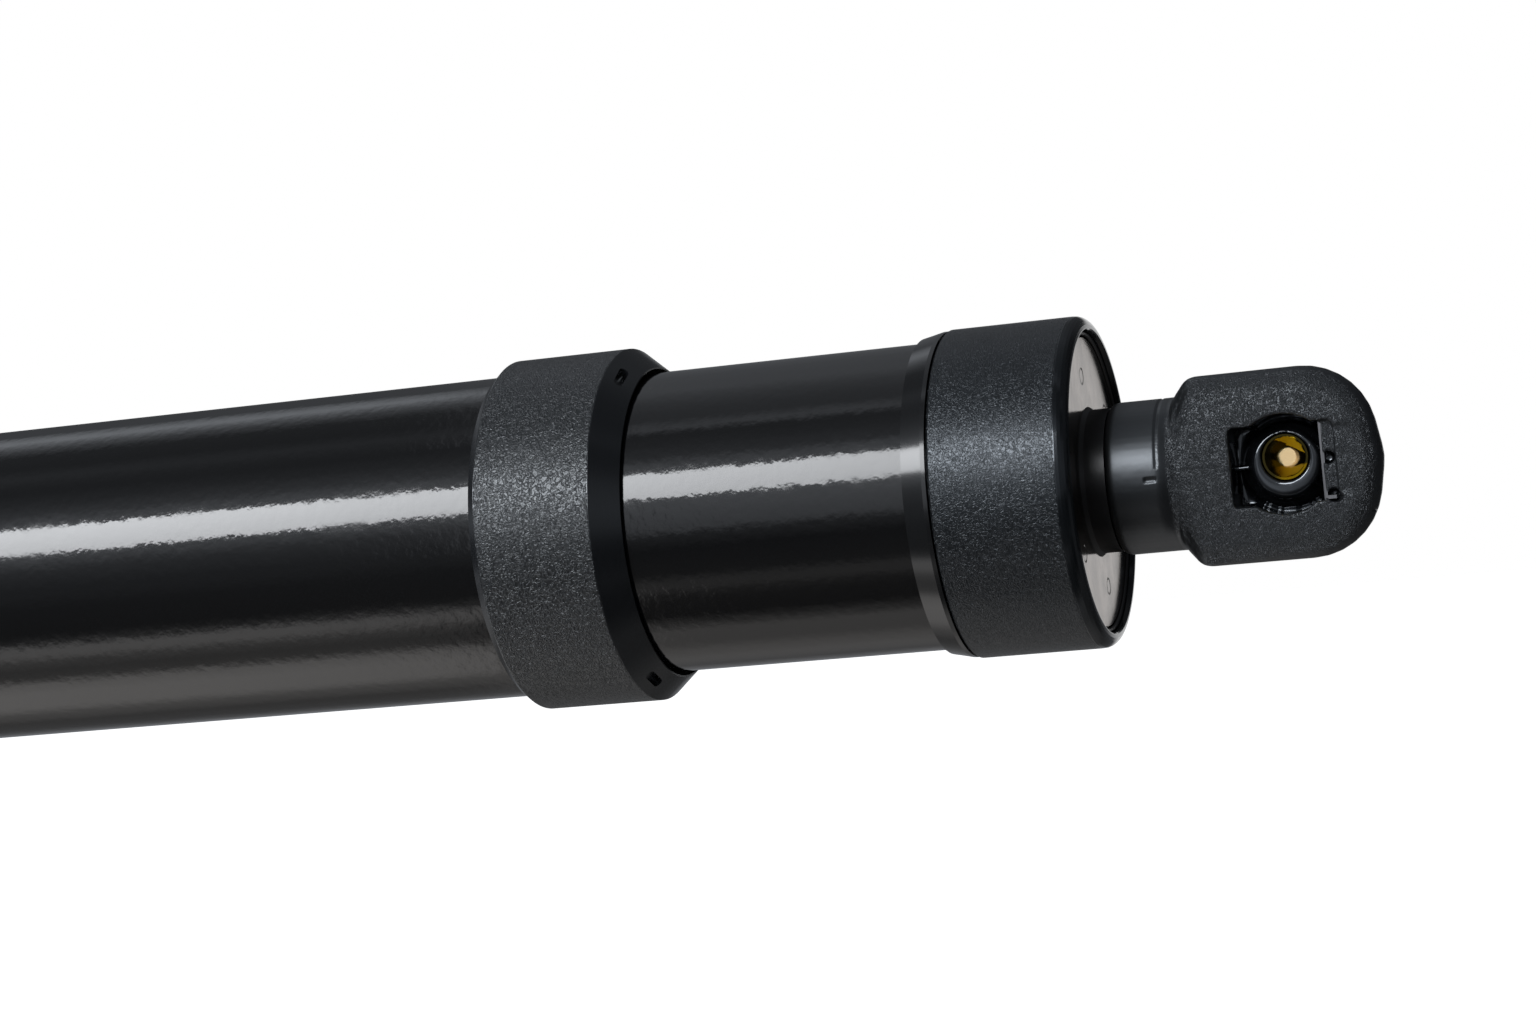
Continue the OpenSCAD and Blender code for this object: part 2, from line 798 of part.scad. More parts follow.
function gear_outline(teeth, root_r, tip_r, play) =
    let (
        base_r = gear_module * teeth / 2 * cos(pressure_angle),
        start_r = max(root_r, base_r),
        flank = [root_r, start_r, (start_r + tip_r) / 2, tip_r]
    )
    [for (k = [0:teeth - 1], side = [-1, 1], i = [0:3])
        let (
            r = flank[side < 0 ? i : 3 - i],
            a = 360 * k / teeth + side * half_tooth(teeth, r, play)
        )
        [r * cos(a), r * sin(a)]];

module gear(teeth) {
    pitch_r = gear_module * teeth / 2;
    polygon(gear_outline(teeth, pitch_r - dedendum, pitch_r + addendum, flank_play));
}

module sun_gear() {
    color("#c0a15a")
        drawn_x(first_planets_x, gear_width)
            difference() {
                gear(sun_teeth);
                circle(shaft_r + seat_gap);
            }
}

// A planet at an angle round the axis, turned so that it meshes with the sun and the ring
module planet(x, angle) {
    color("#8b8d90")
        drawn_x(x, gear_width)
            rotate(angle)
                translate([planet_orbit, 0])
                    rotate(angle * sun_teeth / planet_teeth + 180 + 180 / planet_teeth)
                        difference() {
                            gear(planet_teeth);
                            circle(planet_pin_r + fit_gap);
                        }
}

module carrier_pins(x) {
    for (angle = [0, 120, 240])
        rotate([angle, 0, 0])
            translate([0, planet_orbit, 0])
                rod_x(x - free_gap, gear_width + 2 * free_gap + carrier_plate / 2, planet_pin_r);
}

carrier_r = planet_orbit + planet_pin_r + 1.4;

// The first carrier's plate also bears the second sun gear
module first_carrier() {
    color("#77797c") {
        rod_x(first_plate_x, carrier_plate, carrier_r);
        carrier_pins(first_planets_x);
        drawn_x(first_plate_x + carrier_plate / 2, carrier_plate / 2 + 0.6 + gear_width)
            gear(sun_teeth);
    }
}

// The second carrier's plate is one piece with the output shaft
module second_carrier() {
    color("#77797c") {
        rod_x(second_plate_x, carrier_plate, carrier_r);
        carrier_pins(second_planets_x);
        rod_x(second_plate_x + carrier_plate, coupling_x + 8 - second_plate_x - carrier_plate, output_r);
    }
}

output_r = 5;

// Gearbox case, toothed inside along both stages, with a wall that bears the output shaft
module ring_gear() {
    pitch_r = gear_module * ring_teeth / 2;
    color("#55585c") {
        drawn_x(gearbox_x, gearbox_wall_x - gearbox_x)
            difference() {
                circle(tube_bore_r - seat_gap);
                rotate(180 * (planet_teeth + 1) / ring_teeth)
                    polygon(gear_outline(ring_teeth, pitch_r - addendum, pitch_r + dedendum, -flank_play));
            }
        tube_x(gearbox_wall_x, gearbox_wall, tube_bore_r - seat_gap, output_r + fit_gap);
    }
}

// Brake: a case with a friction face, a pole ring, and a disc on the output shaft
brake_disc_r = brake_disc_d / 2;
brake_wall = 2.5;
disc_x = brake_x + brake_wall + 2.5;
disc_thickness = 2;

module brake_housing() {
    color("#3d4045") {
        tube_x(brake_x, brake_wall, tube_bore_r - seat_gap, output_r + 1);
        tube_x(brake_x, brake_length, tube_bore_r - seat_gap, brake_disc_r + 1);
        tube_x(brake_x, brake_wall + 2.2, brake_disc_r, brake_disc_r - 5);
        tube_x(disc_x + disc_thickness + 0.5, 6, brake_disc_r + 1 - seat_gap, coupling_d / 2 + 0.6);
    }
}

module brake_disc() {
    color("#7d6a4e") {
        tube_x(disc_x, disc_thickness, brake_disc_r, output_r + seat_gap);
        tube_x(disc_x, coupling_x - disc_x, output_r + 2.5, output_r + seat_gap);
    }
}

module shaft_coupling() {
    shaft_end = coupling_x + 8;
    color("#54575b")
        difference() {
            rod_x(coupling_x, coupling_length, coupling_d / 2);
            rod_x(coupling_x - 1, shaft_end + 1 - coupling_x + 1, output_r + seat_gap);
            rod_x(shaft_end, coupling_length, journal_r + seat_gap);
        }
}

// Spindle bearing: two grooved rings, a cage and its balls
bearing_ball_r = 1.95;
bearing_orbit = journal_r + 3.5;
bearing_r = journal_r + 7;
groove_r = bearing_ball_r + 0.08;
bearing_middle = bearing_x + bearing_width / 2;

module bearing_groove() {
    translate([bearing_middle, 0, 0])
        rotate([0, 90, 0])
            rotate_extrude()
                translate([bearing_orbit, 0])
                    circle(groove_r, $fn = 48);
}

module bearing_outer_ring() {
    color("#c3c5c8")
        difference() {
            tube_x(bearing_x, bearing_width, bearing_r, bearing_orbit + 1.3);
            bearing_groove();
        }
}

module bearing_inner_ring() {
    color("#c3c5c8")
        difference() {
            tube_x(bearing_x, bearing_width, bearing_orbit - 1.3, journal_r + seat_gap);
            bearing_groove();
        }
}

module bearing_cage() {
    color("#9c7a3c")
        difference() {
            tube_x(bearing_middle - 2.8, 5.6, bearing_orbit + 0.7, bearing_orbit - 0.7);
            for (k = [1:bearing_balls])
                rotate([360 * k / bearing_balls, 0, 0])
                    translate([bearing_middle, bearing_orbit - 2, 0])
                        rotate([-90, 0, 0])
                            cylinder(h = 4, r = bearing_ball_r + 0.1);
        }
}

module bearing_ball_set() {
    color("#d4d6d8")
        for (k = [1:bearing_balls])
            rotate([360 * k / bearing_balls, 0, 0])
                translate([bearing_middle, bearing_orbit, 0])
                    sphere(bearing_ball_r, $fn = 48);
}

// Housing that seats the bearing, with a spigot for the guide tube
module bearing_housing() {
    bearing_end = bearing_x + bearing_width;
    color("#8f9194")
        turned([
            [bearing_housing_x, bearing_r + seat_gap], [bearing_housing_x, tube_bore_r - seat_gap],
            [guide_tube_x, tube_bore_r - seat_gap], [guide_tube_x, guide_bore_r - seat_gap],
            [bearing_housing_end, guide_bore_r - seat_gap], [bearing_housing_end, spindle_r + 1],
            [bearing_end, spindle_r + 1], [bearing_end, bearing_r + seat_gap]
        ]);
}

module spindle() {
    color("#a4a6a9")
        turned([
            [coupling_x + 9, 0], [coupling_x + 9, journal_r],
            [bearing_x + bearing_width, journal_r], [bearing_x + bearing_width, spindle_r],
            [spindle_end - end_ring_length, spindle_r],
            [spindle_end - end_ring_length, spindle_r - 0.8],
            [spindle_end - 0.5, spindle_r - 0.8], [spindle_end, spindle_r - 1.3],
            [spindle_end, 0]
        ]);
}

// Plain ring on the spindle's tip that runs in the push tube
module spindle_end_ring() {
    color("#d8d6cf")
        tube_x(spindle_end - end_ring_length, end_ring_length - 0.5,
            push_bore_r - fit_gap, spindle_r - 0.8 + seat_gap);
}

// Guide tube with two long slots for the nut's keys
module guide_tube() {
    slot = key_width + 0.2;
    slot_start = bearing_housing_end + 1;
    color("#7e8185")
        difference() {
            tube_x(guide_tube_x, guide_tube_end - guide_tube_x, guide_r, guide_bore_r);
            translate([slot_start, -guide_r - 1, -slot / 2])
                cube([guide_tube_end - 8 - slot_start, 2 * guide_r + 2, slot]);
        }
}

module spindle_nut() {
    color("#dcdad2")
        difference() {
            union() {
                rod_x(nut_x, nut_length, guide_bore_r - 0.3);
                intersection() {
                    rod_x(nut_x, nut_length, key_r);
                    translate([nut_x, -key_r, -key_width / 2])
                        cube([nut_length, 2 * key_r, key_width]);
                }
            }
            rod_x(nut_x - 1, nut_length + 2, spindle_r + fit_gap);
            rod_x(push_tube_x, nut_length, push_r + seat_gap);
        }
}

module push_tube() {
    color("#97999c")
        tube_x(push_tube_x, push_tube_end - push_tube_x, push_r, push_bore_r);
}

// Coil spring: one round wire wound by formula, close at both ends and open between.
// The wire centre's place along X grows with the turn number.
wire_r = spring_wire_d / 2;
spring_from = drive_seat_end + wire_r + 0.05;
spring_to = rod_seat_x - wire_r - 0.05;
end_turns = 1.5;
end_pitch = spring_wire_d + 0.45;
open_pitch = (spring_to - spring_from - 2 * end_turns * end_pitch) / (spring_turns - 2 * end_turns);
rings_per_turn = 8;
wire_sides = 6;

function spring_x(turn) = spring_from
    + end_pitch * min(turn, end_turns)
    + open_pitch * max(0, min(turn, spring_turns - end_turns) - end_turns)
    + end_pitch * max(0, turn - (spring_turns - end_turns));

function spring_point(turn, side) =
    let (
        a = 360 * turn,
        b = 360 * side / wire_sides,
        r = spring_mean_r + wire_r * cos(b)
    )
    [spring_x(turn) + wire_r * sin(b), r * cos(a), r * sin(a)];

module compression_spring() {
    rings = rings_per_turn * spring_turns;
    sides = wire_sides;
    points = [for (i = [0:rings], j = [0:sides - 1]) spring_point(i / rings_per_turn, j)];
    walls = [for (i = [0:rings - 1], j = [0:sides - 1])
        let (a = i * sides + j, b = i * sides + (j + 1) % sides)
        each [[a, b, b + sides], [a, b + sides, a + sides]]];
    first_end = [for (j = [1:sides - 2]) [0, j + 1, j]];
    last_end = [for (j = [1:sides - 2]) [rings * sides, rings * sides + j, rings * sides + j + 1]];
    echo(least_gap_between_turns = min(end_pitch, open_pitch) - spring_wire_d);
    color("#5d6166")
        polyhedron(points, concat(walls, first_end, last_end));
}

module spring_seat_ring(x) {
    color("#2b2d30")
        tube_x(x, spring_seat, spring_mean_r + wire_r + 0.2, guide_r + 0.1);
}

module drive_spring_seat() {
    spring_seat_ring(bearing_housing_end);
}

module rod_spring_seat() {
    spring_seat_ring(rod_seat_x);
}

// Inner tube and the pieces that travel with it
module inner_tube() {
    color("#1b1d22")
        tube_x(inner_tube_x, inner_tube_end - inner_tube_x, rod_r, rod_bore_r);
}

module slide_ring() {
    outer = tube_bore_r - fit_gap;
    color("#6f6a5c")
        turned([
            [slide_x, rod_bore_r + 0.1], [slide_x, outer],
            [slide_x + slide_ring_length, outer],
            [slide_x + slide_ring_length, rod_r + seat_gap],
            [inner_tube_x, rod_r + seat_gap], [inner_tube_x, rod_bore_r + 0.1]
        ]);
}

module rod_end_plug() {
    color("#8f9194")
        difference() {
            rod_x(rod_plug_x, rod_plug_length, rod_bore_r - 0.05);
            rod_x(rod_plug_x - 1, push_tube_end - rod_plug_x + 1, push_r + seat_gap);
            rod_x(push_tube_end + 0.4, rod_plug_length, stud_r + seat_gap);
        }
}

module rod_bevel_ring() {
    r = rod_r + rod_cap_wall;
    color("#17181b")
        at_rod_end()
            turned([
                [-bevel_ring_back, rod_r + seat_gap], [-bevel_ring_back, rod_r + 0.6],
                [-bevel_ring_front - 0.5, r - 0.15], [-bevel_ring_front, r - 0.15],
                [-bevel_ring_front, rod_r + seat_gap]
            ]);
}

module rod_end_cap() {
    at_rod_end()
        end_cap(rod_r, rod_cap_wall);
}

module rod_end_plate() {
    at_rod_end()
        end_plate(rod_r);
}

module rod_o_ring() {
    at_rod_end()
        o_ring(rod_r);
}

module rod_neck_seal() {
    at_rod_end()
        neck_seal();
}

module rod_stud() {
    at_rod_end()
        stud(plate_back + rod_plug_length - push_tube_seat - 0.6);
}

module rod_socket() {
    at_rod_end()
        socket_body();
}

module rod_seat_liner() {
    at_rod_end()
        seat_liner();
}

module rod_clip() {
    at_rod_end()
        retaining_clip();
}

outer_tube();
guide_collar();
wiper_seal();
guide_bush();
drive_end_plug();
drive_end_cap();
drive_end_plate();
drive_o_ring();
drive_neck_seal();
cable_gland();
drive_stud();
drive_socket();
drive_seat_liner();
drive_clip();
motor_can();
motor_end_bell();
motor_magnets();
motor_brushes();
motor_mounts();
ring_gear();
brake_housing();
bearing_housing();
bearing_outer_ring();
guide_tube();
drive_spring_seat();
compression_spring();
armature_shaft();
armature_core();
commutator();
sun_gear();
first_carrier();
planet(first_planets_x, 0);  // first_planet_a
planet(first_planets_x, 120);  // first_planet_b
planet(first_planets_x, 240);  // first_planet_c
second_carrier();
planet(second_planets_x, 0);  // second_planet_a
planet(second_planets_x, 120);  // second_planet_b
planet(second_planets_x, 240);  // second_planet_c
brake_disc();
shaft_coupling();
spindle();
bearing_inner_ring();
spindle_end_ring();
bearing_cage();
bearing_ball_set();
inner_tube();
slide_ring();
spindle_nut();
push_tube();
rod_spring_seat();
rod_end_plug();
rod_bevel_ring();
rod_end_cap();
rod_end_plate();
rod_o_ring();
rod_neck_seal();
rod_stud();
rod_socket();
rod_seat_liner();
rod_clip();
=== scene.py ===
import math

import bmesh
import bpy
from mathutils import Matrix, Vector


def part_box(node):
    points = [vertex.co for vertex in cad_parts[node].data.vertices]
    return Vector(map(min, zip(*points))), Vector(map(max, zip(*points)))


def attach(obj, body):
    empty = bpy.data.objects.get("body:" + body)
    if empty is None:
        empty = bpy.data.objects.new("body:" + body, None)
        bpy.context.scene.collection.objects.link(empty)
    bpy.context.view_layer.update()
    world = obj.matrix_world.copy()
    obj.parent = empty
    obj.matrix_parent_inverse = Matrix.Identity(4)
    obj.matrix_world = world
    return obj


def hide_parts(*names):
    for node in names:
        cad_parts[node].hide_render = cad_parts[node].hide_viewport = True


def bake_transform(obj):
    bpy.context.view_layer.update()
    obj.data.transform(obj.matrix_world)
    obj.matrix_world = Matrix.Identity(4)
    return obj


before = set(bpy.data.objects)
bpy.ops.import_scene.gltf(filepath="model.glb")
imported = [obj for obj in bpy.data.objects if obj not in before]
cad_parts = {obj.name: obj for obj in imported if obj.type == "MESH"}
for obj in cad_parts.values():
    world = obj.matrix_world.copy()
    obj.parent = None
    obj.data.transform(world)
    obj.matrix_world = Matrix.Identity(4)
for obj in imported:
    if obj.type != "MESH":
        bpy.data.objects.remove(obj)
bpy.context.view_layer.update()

# Outer tube
# A drawn steel tube that carries the motor, the gears and the spring seat.
# It is sprayed gloss black, and the thick paint dries with a fine orange peel.
MM = 0.001


def node(tree, kind, inputs=None, **settings):
    """One shader node, its inputs set to values or joined to other nodes' sockets."""
    made = tree.nodes.new(kind)
    for key, value in settings.items():
        setattr(made, key, value)
    for key, value in (inputs or {}).items():
        if isinstance(value, bpy.types.NodeSocket):
            tree.links.new(value, made.inputs[key])
        else:
            made.inputs[key].default_value = value
    return made


def effect_group(name, inputs, outputs):
    """An empty effect group with named number inputs and outputs."""
    tree = bpy.data.node_groups.new(name, "ShaderNodeTree")
    tree.interface.new_socket("Place", in_out="INPUT", socket_type="NodeSocketVector")
    for label, value in inputs.items():
        socket = tree.interface.new_socket(label, in_out="INPUT", socket_type="NodeSocketFloat")
        socket.default_value = value
    for label in outputs:
        tree.interface.new_socket(label, in_out="OUTPUT", socket_type="NodeSocketFloat")
    return tree, tree.nodes.new("NodeGroupInput").outputs, tree.nodes.new("NodeGroupOutput").inputs


def finish_material(name, colour, roughness, metallic=0.0):
    """A material with one Principled shader, its plain values set on the shader's own sockets."""
    material = bpy.data.materials.new(name)
    material.use_nodes = True
    shader = material.node_tree.nodes["Principled BSDF"]
    shader.inputs["Base Color"].default_value = (*colour, 1)
    shader.inputs["Roughness"].default_value = roughness
    shader.inputs["Metallic"].default_value = metallic
    return material, material.node_tree, shader


def place_on(tree):
    """The point on the piece in its own frame, so that a texture stays put when the piece moves."""
    return node(tree, "ShaderNodeTexCoord").outputs["Object"]


def use_group(tree, group, place, **values):
    """The outputs of an effect group laid on the place, with its own values."""
    made = node(tree, "ShaderNodeGroup", node_tree=group)
    tree.links.new(place, made.inputs["Place"])
    for key, value in values.items():
        made.inputs[key.replace("_", " ")].default_value = value
    return made.outputs


def band(tree, value, low, high, from_value=0.0, to_value=1.0):
    """Maps low..high to from_value..to_value, held flat outside."""
    return node(tree, "ShaderNodeMapRange", {
        "Value": value, "From Min": low, "From Max": high, "To Min": from_value, "To Max": to_value,
    }, interpolation_type="SMOOTHSTEP").outputs["Result"]


def emboss(tree, shader, height, depth):
    """Raises the surface by depth where height is 1."""
    bump = node(tree, "ShaderNodeBump", {"Height": height, "Distance": depth})
    tree.links.new(bump.outputs["Normal"], shader.inputs["Normal"])


def dress(material, slot, *names):
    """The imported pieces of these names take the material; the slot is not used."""
    for name in names:
        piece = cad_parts[name]
        piece.data.materials.clear()
        piece.data.materials.append(material)


ripple_group, ripple_in, ripple_out = effect_group(
    "paint ripple", {"Ripple": 1500.0}, ["Height", "Haze"])
ripple_noise = node(ripple_group, "ShaderNodeTexNoise", {
    "Vector": ripple_in["Place"], "Scale": ripple_in["Ripple"], "Detail": 2.5, "Roughness": 0.5})
haze_noise = node(ripple_group, "ShaderNodeTexNoise", {
    "Vector": ripple_in["Place"], "Scale": 90.0, "Detail": 4.0, "Roughness": 0.6})
ripple_group.links.new(ripple_noise.outputs[0], ripple_out["Height"])
ripple_group.links.new(haze_noise.outputs[0], ripple_out["Haze"])

paint_black = (0.0021, 0.0022, 0.0025)
paint_gloss = 0.07
paint_peel = 0.026 * MM
tube_paint, tree, shader = finish_material("gloss black tube paint", paint_black, paint_gloss)
ripple = use_group(tree, ripple_group, place_on(tree), Ripple=850.0)
emboss(tree, shader, ripple["Height"], paint_peel)
tree.links.new(band(tree, ripple["Haze"], 0.35, 0.75, paint_gloss, paint_gloss + 0.05),
               shader.inputs["Roughness"])
dress(tube_paint, "tube_paint", "outer_tube")

# Guide collar
# A moulded nylon ring, screwed on the tube's mouth, that guides the inner tube.
# Its band has a coarse leather grain, with painted shade in its folds; the bevel, with its locking slots,
# is left plain.
collar_back, collar_front = (corner.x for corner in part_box("guide_collar"))
collar_chamfer, collar_bevel = 1.0 * MM, 3.1 * MM
# The second colour is painted shade for the grain's folds
collar_black, collar_fold_shade = (0.0050, 0.0056, 0.0066), (0.0022, 0.0024, 0.0028)
collar_grain_size, collar_grain_depth = 0.58 * MM, 0.056 * MM
collar_grain_fade = 0.2 * MM
collar_shine, collar_tint = 0.76, (0.955, 1.0, 1.035, 1)
collar_roughness, bevel_roughness = 0.34, 0.2
fold_width = 0.13


def math_node(tree, operation, a, b=0.0, clamp=False):
    """The result of one sum on numbers or sockets."""
    made = node(tree, "ShaderNodeMath", operation=operation, use_clamp=clamp)
    for socket, value in zip(made.inputs, (a, b)):
        if isinstance(value, bpy.types.NodeSocket):
            tree.links.new(value, socket)
        else:
            socket.default_value = value
    return made.outputs[0]


def mixed(tree, mask, low_colour, high_colour):
    """The low colour where the mask is 0 and the high one where it is 1."""
    made = node(tree, "ShaderNodeMix", data_type="RGBA")
    sockets = made.inputs[0], made.inputs[6], made.inputs[7]
    for socket, value in zip(sockets, (mask, low_colour, high_colour)):
        if isinstance(value, bpy.types.NodeSocket):
            tree.links.new(value, socket)
        else:
            socket.default_value = (*value, 1)
    return made.outputs[2]


def two_tone(tree, shader, mask, low_colour, high_colour):
    """Colours the surface with two colours, mixed by the mask."""
    tree.links.new(mixed(tree, mask, low_colour, high_colour), shader.inputs["Base Color"])


grain_group, grain_in, grain_out = effect_group(
    "moulded grain", {"Cell": 2200.0, "Warp": 1.0, "Fine": 0.3}, ["Height", "Fold Shade"])
fold_noise = node(grain_group, "ShaderNodeTexNoise", {
    "Vector": grain_in["Place"], "Scale": grain_in["Cell"], "Detail": 1.0, "Roughness": 0.5,
    "Distortion": grain_in["Warp"]})
fold_side = math_node(grain_group, "ABSOLUTE", math_node(
    grain_group, "SUBTRACT", fold_noise.outputs[0], 0.5))
fold = band(grain_group, fold_side, 0.0, fold_width, 1.0, 0.0)
fine_noise = node(grain_group, "ShaderNodeTexNoise", {
    "Vector": grain_in["Place"], "Scale": math_node(grain_group, "MULTIPLY", grain_in["Cell"], 2.7),
    "Detail": 2.0})
fine_part = math_node(grain_group, "MULTIPLY", fine_noise.outputs[0], grain_in["Fine"])
grain_group.links.new(math_node(grain_group, "ADD", fold, fine_part), grain_out["Height"])
# The folds' mask, for painting shade into the creases of the grain
grain_group.links.new(band(grain_group, fold, 0.0, 0.6, 1.0, 0.0), grain_out["Fold Shade"])

collar_plastic, tree, shader = finish_material("leather grained collar", collar_black, collar_roughness)
shader.inputs["Specular IOR Level"].default_value = collar_shine
shader.inputs["Specular Tint"].default_value = collar_tint
place = place_on(tree)
along = node(tree, "ShaderNodeSeparateXYZ", {0: place}).outputs["X"]
leather = use_group(tree, grain_group, place, Cell=1 / collar_grain_size, Warp=1.2, Fine=0.9)
band_mask = math_node(
    tree, "MULTIPLY",
    band(tree, along, collar_back + collar_chamfer, collar_back + collar_chamfer + collar_grain_fade),
    band(tree, along, collar_front - collar_bevel - collar_grain_fade, collar_front - collar_bevel,
         1.0, 0.0))
emboss(tree, shader, math_node(tree, "MULTIPLY", leather["Height"], band_mask), collar_grain_depth)
# Painted shade: the grain's folds are coloured darker, as if in shadow
two_tone(tree, shader, math_node(tree, "MULTIPLY", leather["Fold Shade"], band_mask),
         collar_black, collar_fold_shade)
tree.links.new(band(tree, band_mask, 0.0, 1.0, bevel_roughness, collar_roughness),
               shader.inputs["Roughness"])
dress(collar_plastic, "grained_plastic", "guide_collar")

# Inner tube and its guides
# A second painted steel tube slides in the collar with the same gloss black finish.
# A split ring on its hidden end and a bush in the outer tube, both PTFE-filled, carry it.
dress(tube_paint, "tube_paint", "inner_tube")

guide_brown = (0.16, 0.135, 0.105)
guide_plastic, tree, shader = finish_material("brown guide plastic", guide_brown, 0.5)
guide_noise = node(tree, "ShaderNodeTexNoise", {"Vector": place_on(tree), "Scale": 900.0, "Detail": 3.0})
emboss(tree, shader, guide_noise.outputs[0], 0.004 * MM)
dress(guide_plastic, "slide_plastic", "guide_bush", "slide_ring")

# Rubber seals
# Moulded black rubber: the wiper in the collar, the rings round the end plates,
# the seals on the sockets' necks, the cable gland and the motor's two mounts.
rubber_black = (0.006, 0.006, 0.0065)
seal_rubber, tree, shader = finish_material("seal rubber", rubber_black, 0.34)
rubber_noise = node(tree, "ShaderNodeTexNoise", {"Vector": place_on(tree), "Scale": 2600.0, "Detail": 2.0})
emboss(tree, shader, rubber_noise.outputs[0], 0.002 * MM)
dress(seal_rubber, "seal_rubber", "wiper_seal", "drive_o_ring", "rod_o_ring", "drive_neck_seal",
      "rod_neck_seal", "cable_gland", "motor_mounts")

# Bevel ring
# A polished ring that closes the step between the inner tube and the end cap.
# It is moulded in plain gloss black and pressed against the cap.
ring_black = (0.004, 0.0043, 0.0048)
gloss_ring, tree, shader = finish_material("gloss bevel ring", ring_black, 0.12)
ripple = use_group(tree, ripple_group, place_on(tree), Ripple=700.0)
emboss(tree, shader, ripple["Height"], 0.004 * MM)
dress(gloss_ring, "gloss_ring", "rod_bevel_ring")

# End caps
# Moulded sleeves over both tube ends, with a fine spark-eroded grain.
# Their rounded rims are a little smoother, and a lip holds the end plate in.
cap_black = (0.0035, 0.0041, 0.0048)
cap_roughness, rim_roughness = 0.28, 0.11
cap_grain_depth, cap_grain_fade = 0.025 * MM, 0.3 * MM
cap_shine, cap_tint = 0.56, (0.92, 1.0, 1.08, 1)
cap_rim = 1.5 * MM
cap_front, cap_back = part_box("rod_end_cap")[1].x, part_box("drive_end_cap")[0].x
cap_plastic, tree, shader = finish_material("fine grained cap", cap_black, cap_roughness)
shader.inputs["Specular IOR Level"].default_value = cap_shine
shader.inputs["Specular Tint"].default_value = cap_tint
place = place_on(tree)
along = node(tree, "ShaderNodeSeparateXYZ", {0: place}).outputs["X"]
grained = math_node(
    tree, "MULTIPLY", band(tree, along, cap_back + cap_rim, cap_back + cap_rim + cap_grain_fade),
    band(tree, along, cap_front - cap_rim - cap_grain_fade, cap_front - cap_rim, 1.0, 0.0))
fine_grain = use_group(tree, grain_group, place, Cell=2000.0, Warp=1.6, Fine=0.7)
emboss(tree, shader, math_node(tree, "MULTIPLY", fine_grain["Height"], grained), cap_grain_depth)
tree.links.new(band(tree, grained, 0.0, 1.0, rim_roughness, cap_roughness), shader.inputs["Roughness"])
dress(cap_plastic, "grained_plastic", "rod_end_cap", "drive_end_cap")

# End plates
# Pale plated steel discs that close the tubes round the sockets' necks.
# Each is staked in place: a ring of small round punch marks runs round its face.
plate_pale = (0.30, 0.262, 0.238)
plate_dull = (0.20, 0.176, 0.160)
plate_stakes, plate_stake_turn = 6, 0.35
plate_stake_ring = 12.9 * MM
plate_stake_r, plate_stake_depth = 1.1 * MM, 0.12 * MM


def radius_of(tree, a, b):
    """How far a point lies from the middle, from its two distances."""
    return math_node(tree, "SQRT", math_node(
        tree, "ADD", math_node(tree, "MULTIPLY", a, a), math_node(tree, "MULTIPLY", b, b)))


plate_steel, tree, shader = finish_material("plated end plate", plate_pale, 0.17, 1.0)
place = place_on(tree)
axes = node(tree, "ShaderNodeSeparateXYZ", {0: place}).outputs
turn = math_node(tree, "ARCTAN2", axes["Z"], axes["Y"])
turn_cell = 2 * math.pi / plate_stakes
turn_in_cell = math_node(
    tree, "PINGPONG", math_node(tree, "ADD", turn, 2 * math.pi + plate_stake_turn), turn_cell / 2)
out = radius_of(tree, axes["Y"], axes["Z"])
side_step = math_node(tree, "MULTIPLY", turn_in_cell, plate_stake_ring)
out_step = math_node(tree, "SUBTRACT", out, plate_stake_ring)
stake_distance = radius_of(tree, side_step, out_step)
stake = band(tree, stake_distance, plate_stake_r * 0.75, plate_stake_r, 0.0, 1.0)
cloud = node(tree, "ShaderNodeTexNoise", {"Vector": place, "Scale": 260.0, "Detail": 5.0}).outputs[0]
emboss(tree, shader, math_node(tree, "ADD", stake, math_node(tree, "MULTIPLY", cloud, 0.1)),
       plate_stake_depth)
two_tone(tree, shader, band(tree, cloud, 0.35, 0.7), plate_dull, plate_pale)
dress(plate_steel, "plate_metal", "rod_end_plate", "drive_end_plate")

# End plugs and studs
# Die-cast plugs crimped in the tube ends take a zinc plated stud each.
# The studs carry the sockets; the spindle and the motor's shaft are turned alike.
alloy_grey = (0.55, 0.55, 0.56)
plug_alloy, tree, shader = finish_material("cast plug alloy", alloy_grey, 0.5, 1.0)
cast_noise = node(tree, "ShaderNodeTexNoise", {"Vector": place_on(tree), "Scale": 1400.0, "Detail": 4.0})
emboss(tree, shader, cast_noise.outputs[0], 0.012 * MM)
dress(plug_alloy, "plug_alloy", "drive_end_plug", "rod_end_plug", "bearing_housing")

turning_group, turning_in, turning_out = effect_group(
    "turning marks", {"Pitch": 4000.0}, ["Height", "Streak"])
turning_wave = node(turning_group, "ShaderNodeTexWave", {
    "Vector": turning_in["Place"], "Scale": turning_in["Pitch"], "Distortion": 0.8, "Detail": 1.0},
    wave_type="BANDS", bands_direction="X")
streak_stretch = node(turning_group, "ShaderNodeMapping", {
    "Vector": turning_in["Place"], "Scale": (2500.0, 120.0, 120.0)})
streak_noise = node(turning_group, "ShaderNodeTexNoise", {
    "Vector": streak_stretch.outputs[0], "Scale": 1.0, "Detail": 3.0})
turning_group.links.new(turning_wave.outputs["Fac"], turning_out["Height"])
turning_group.links.new(streak_noise.outputs[0], turning_out["Streak"])


def turned_metal(name, colour, roughness, pitch=1200.0, depth=0.002 * MM):
    """A metal finish with fine lathe marks along the strut's axis."""
    material, tree, shader = finish_material(name, colour, roughness, 1.0)
    marks = use_group(tree, turning_group, place_on(tree), Pitch=pitch)
    emboss(tree, shader, marks["Height"], depth)
    tree.links.new(band(tree, marks["Streak"], 0.3, 0.7, roughness * 0.75, roughness * 1.3),
                   shader.inputs["Roughness"])
    return material


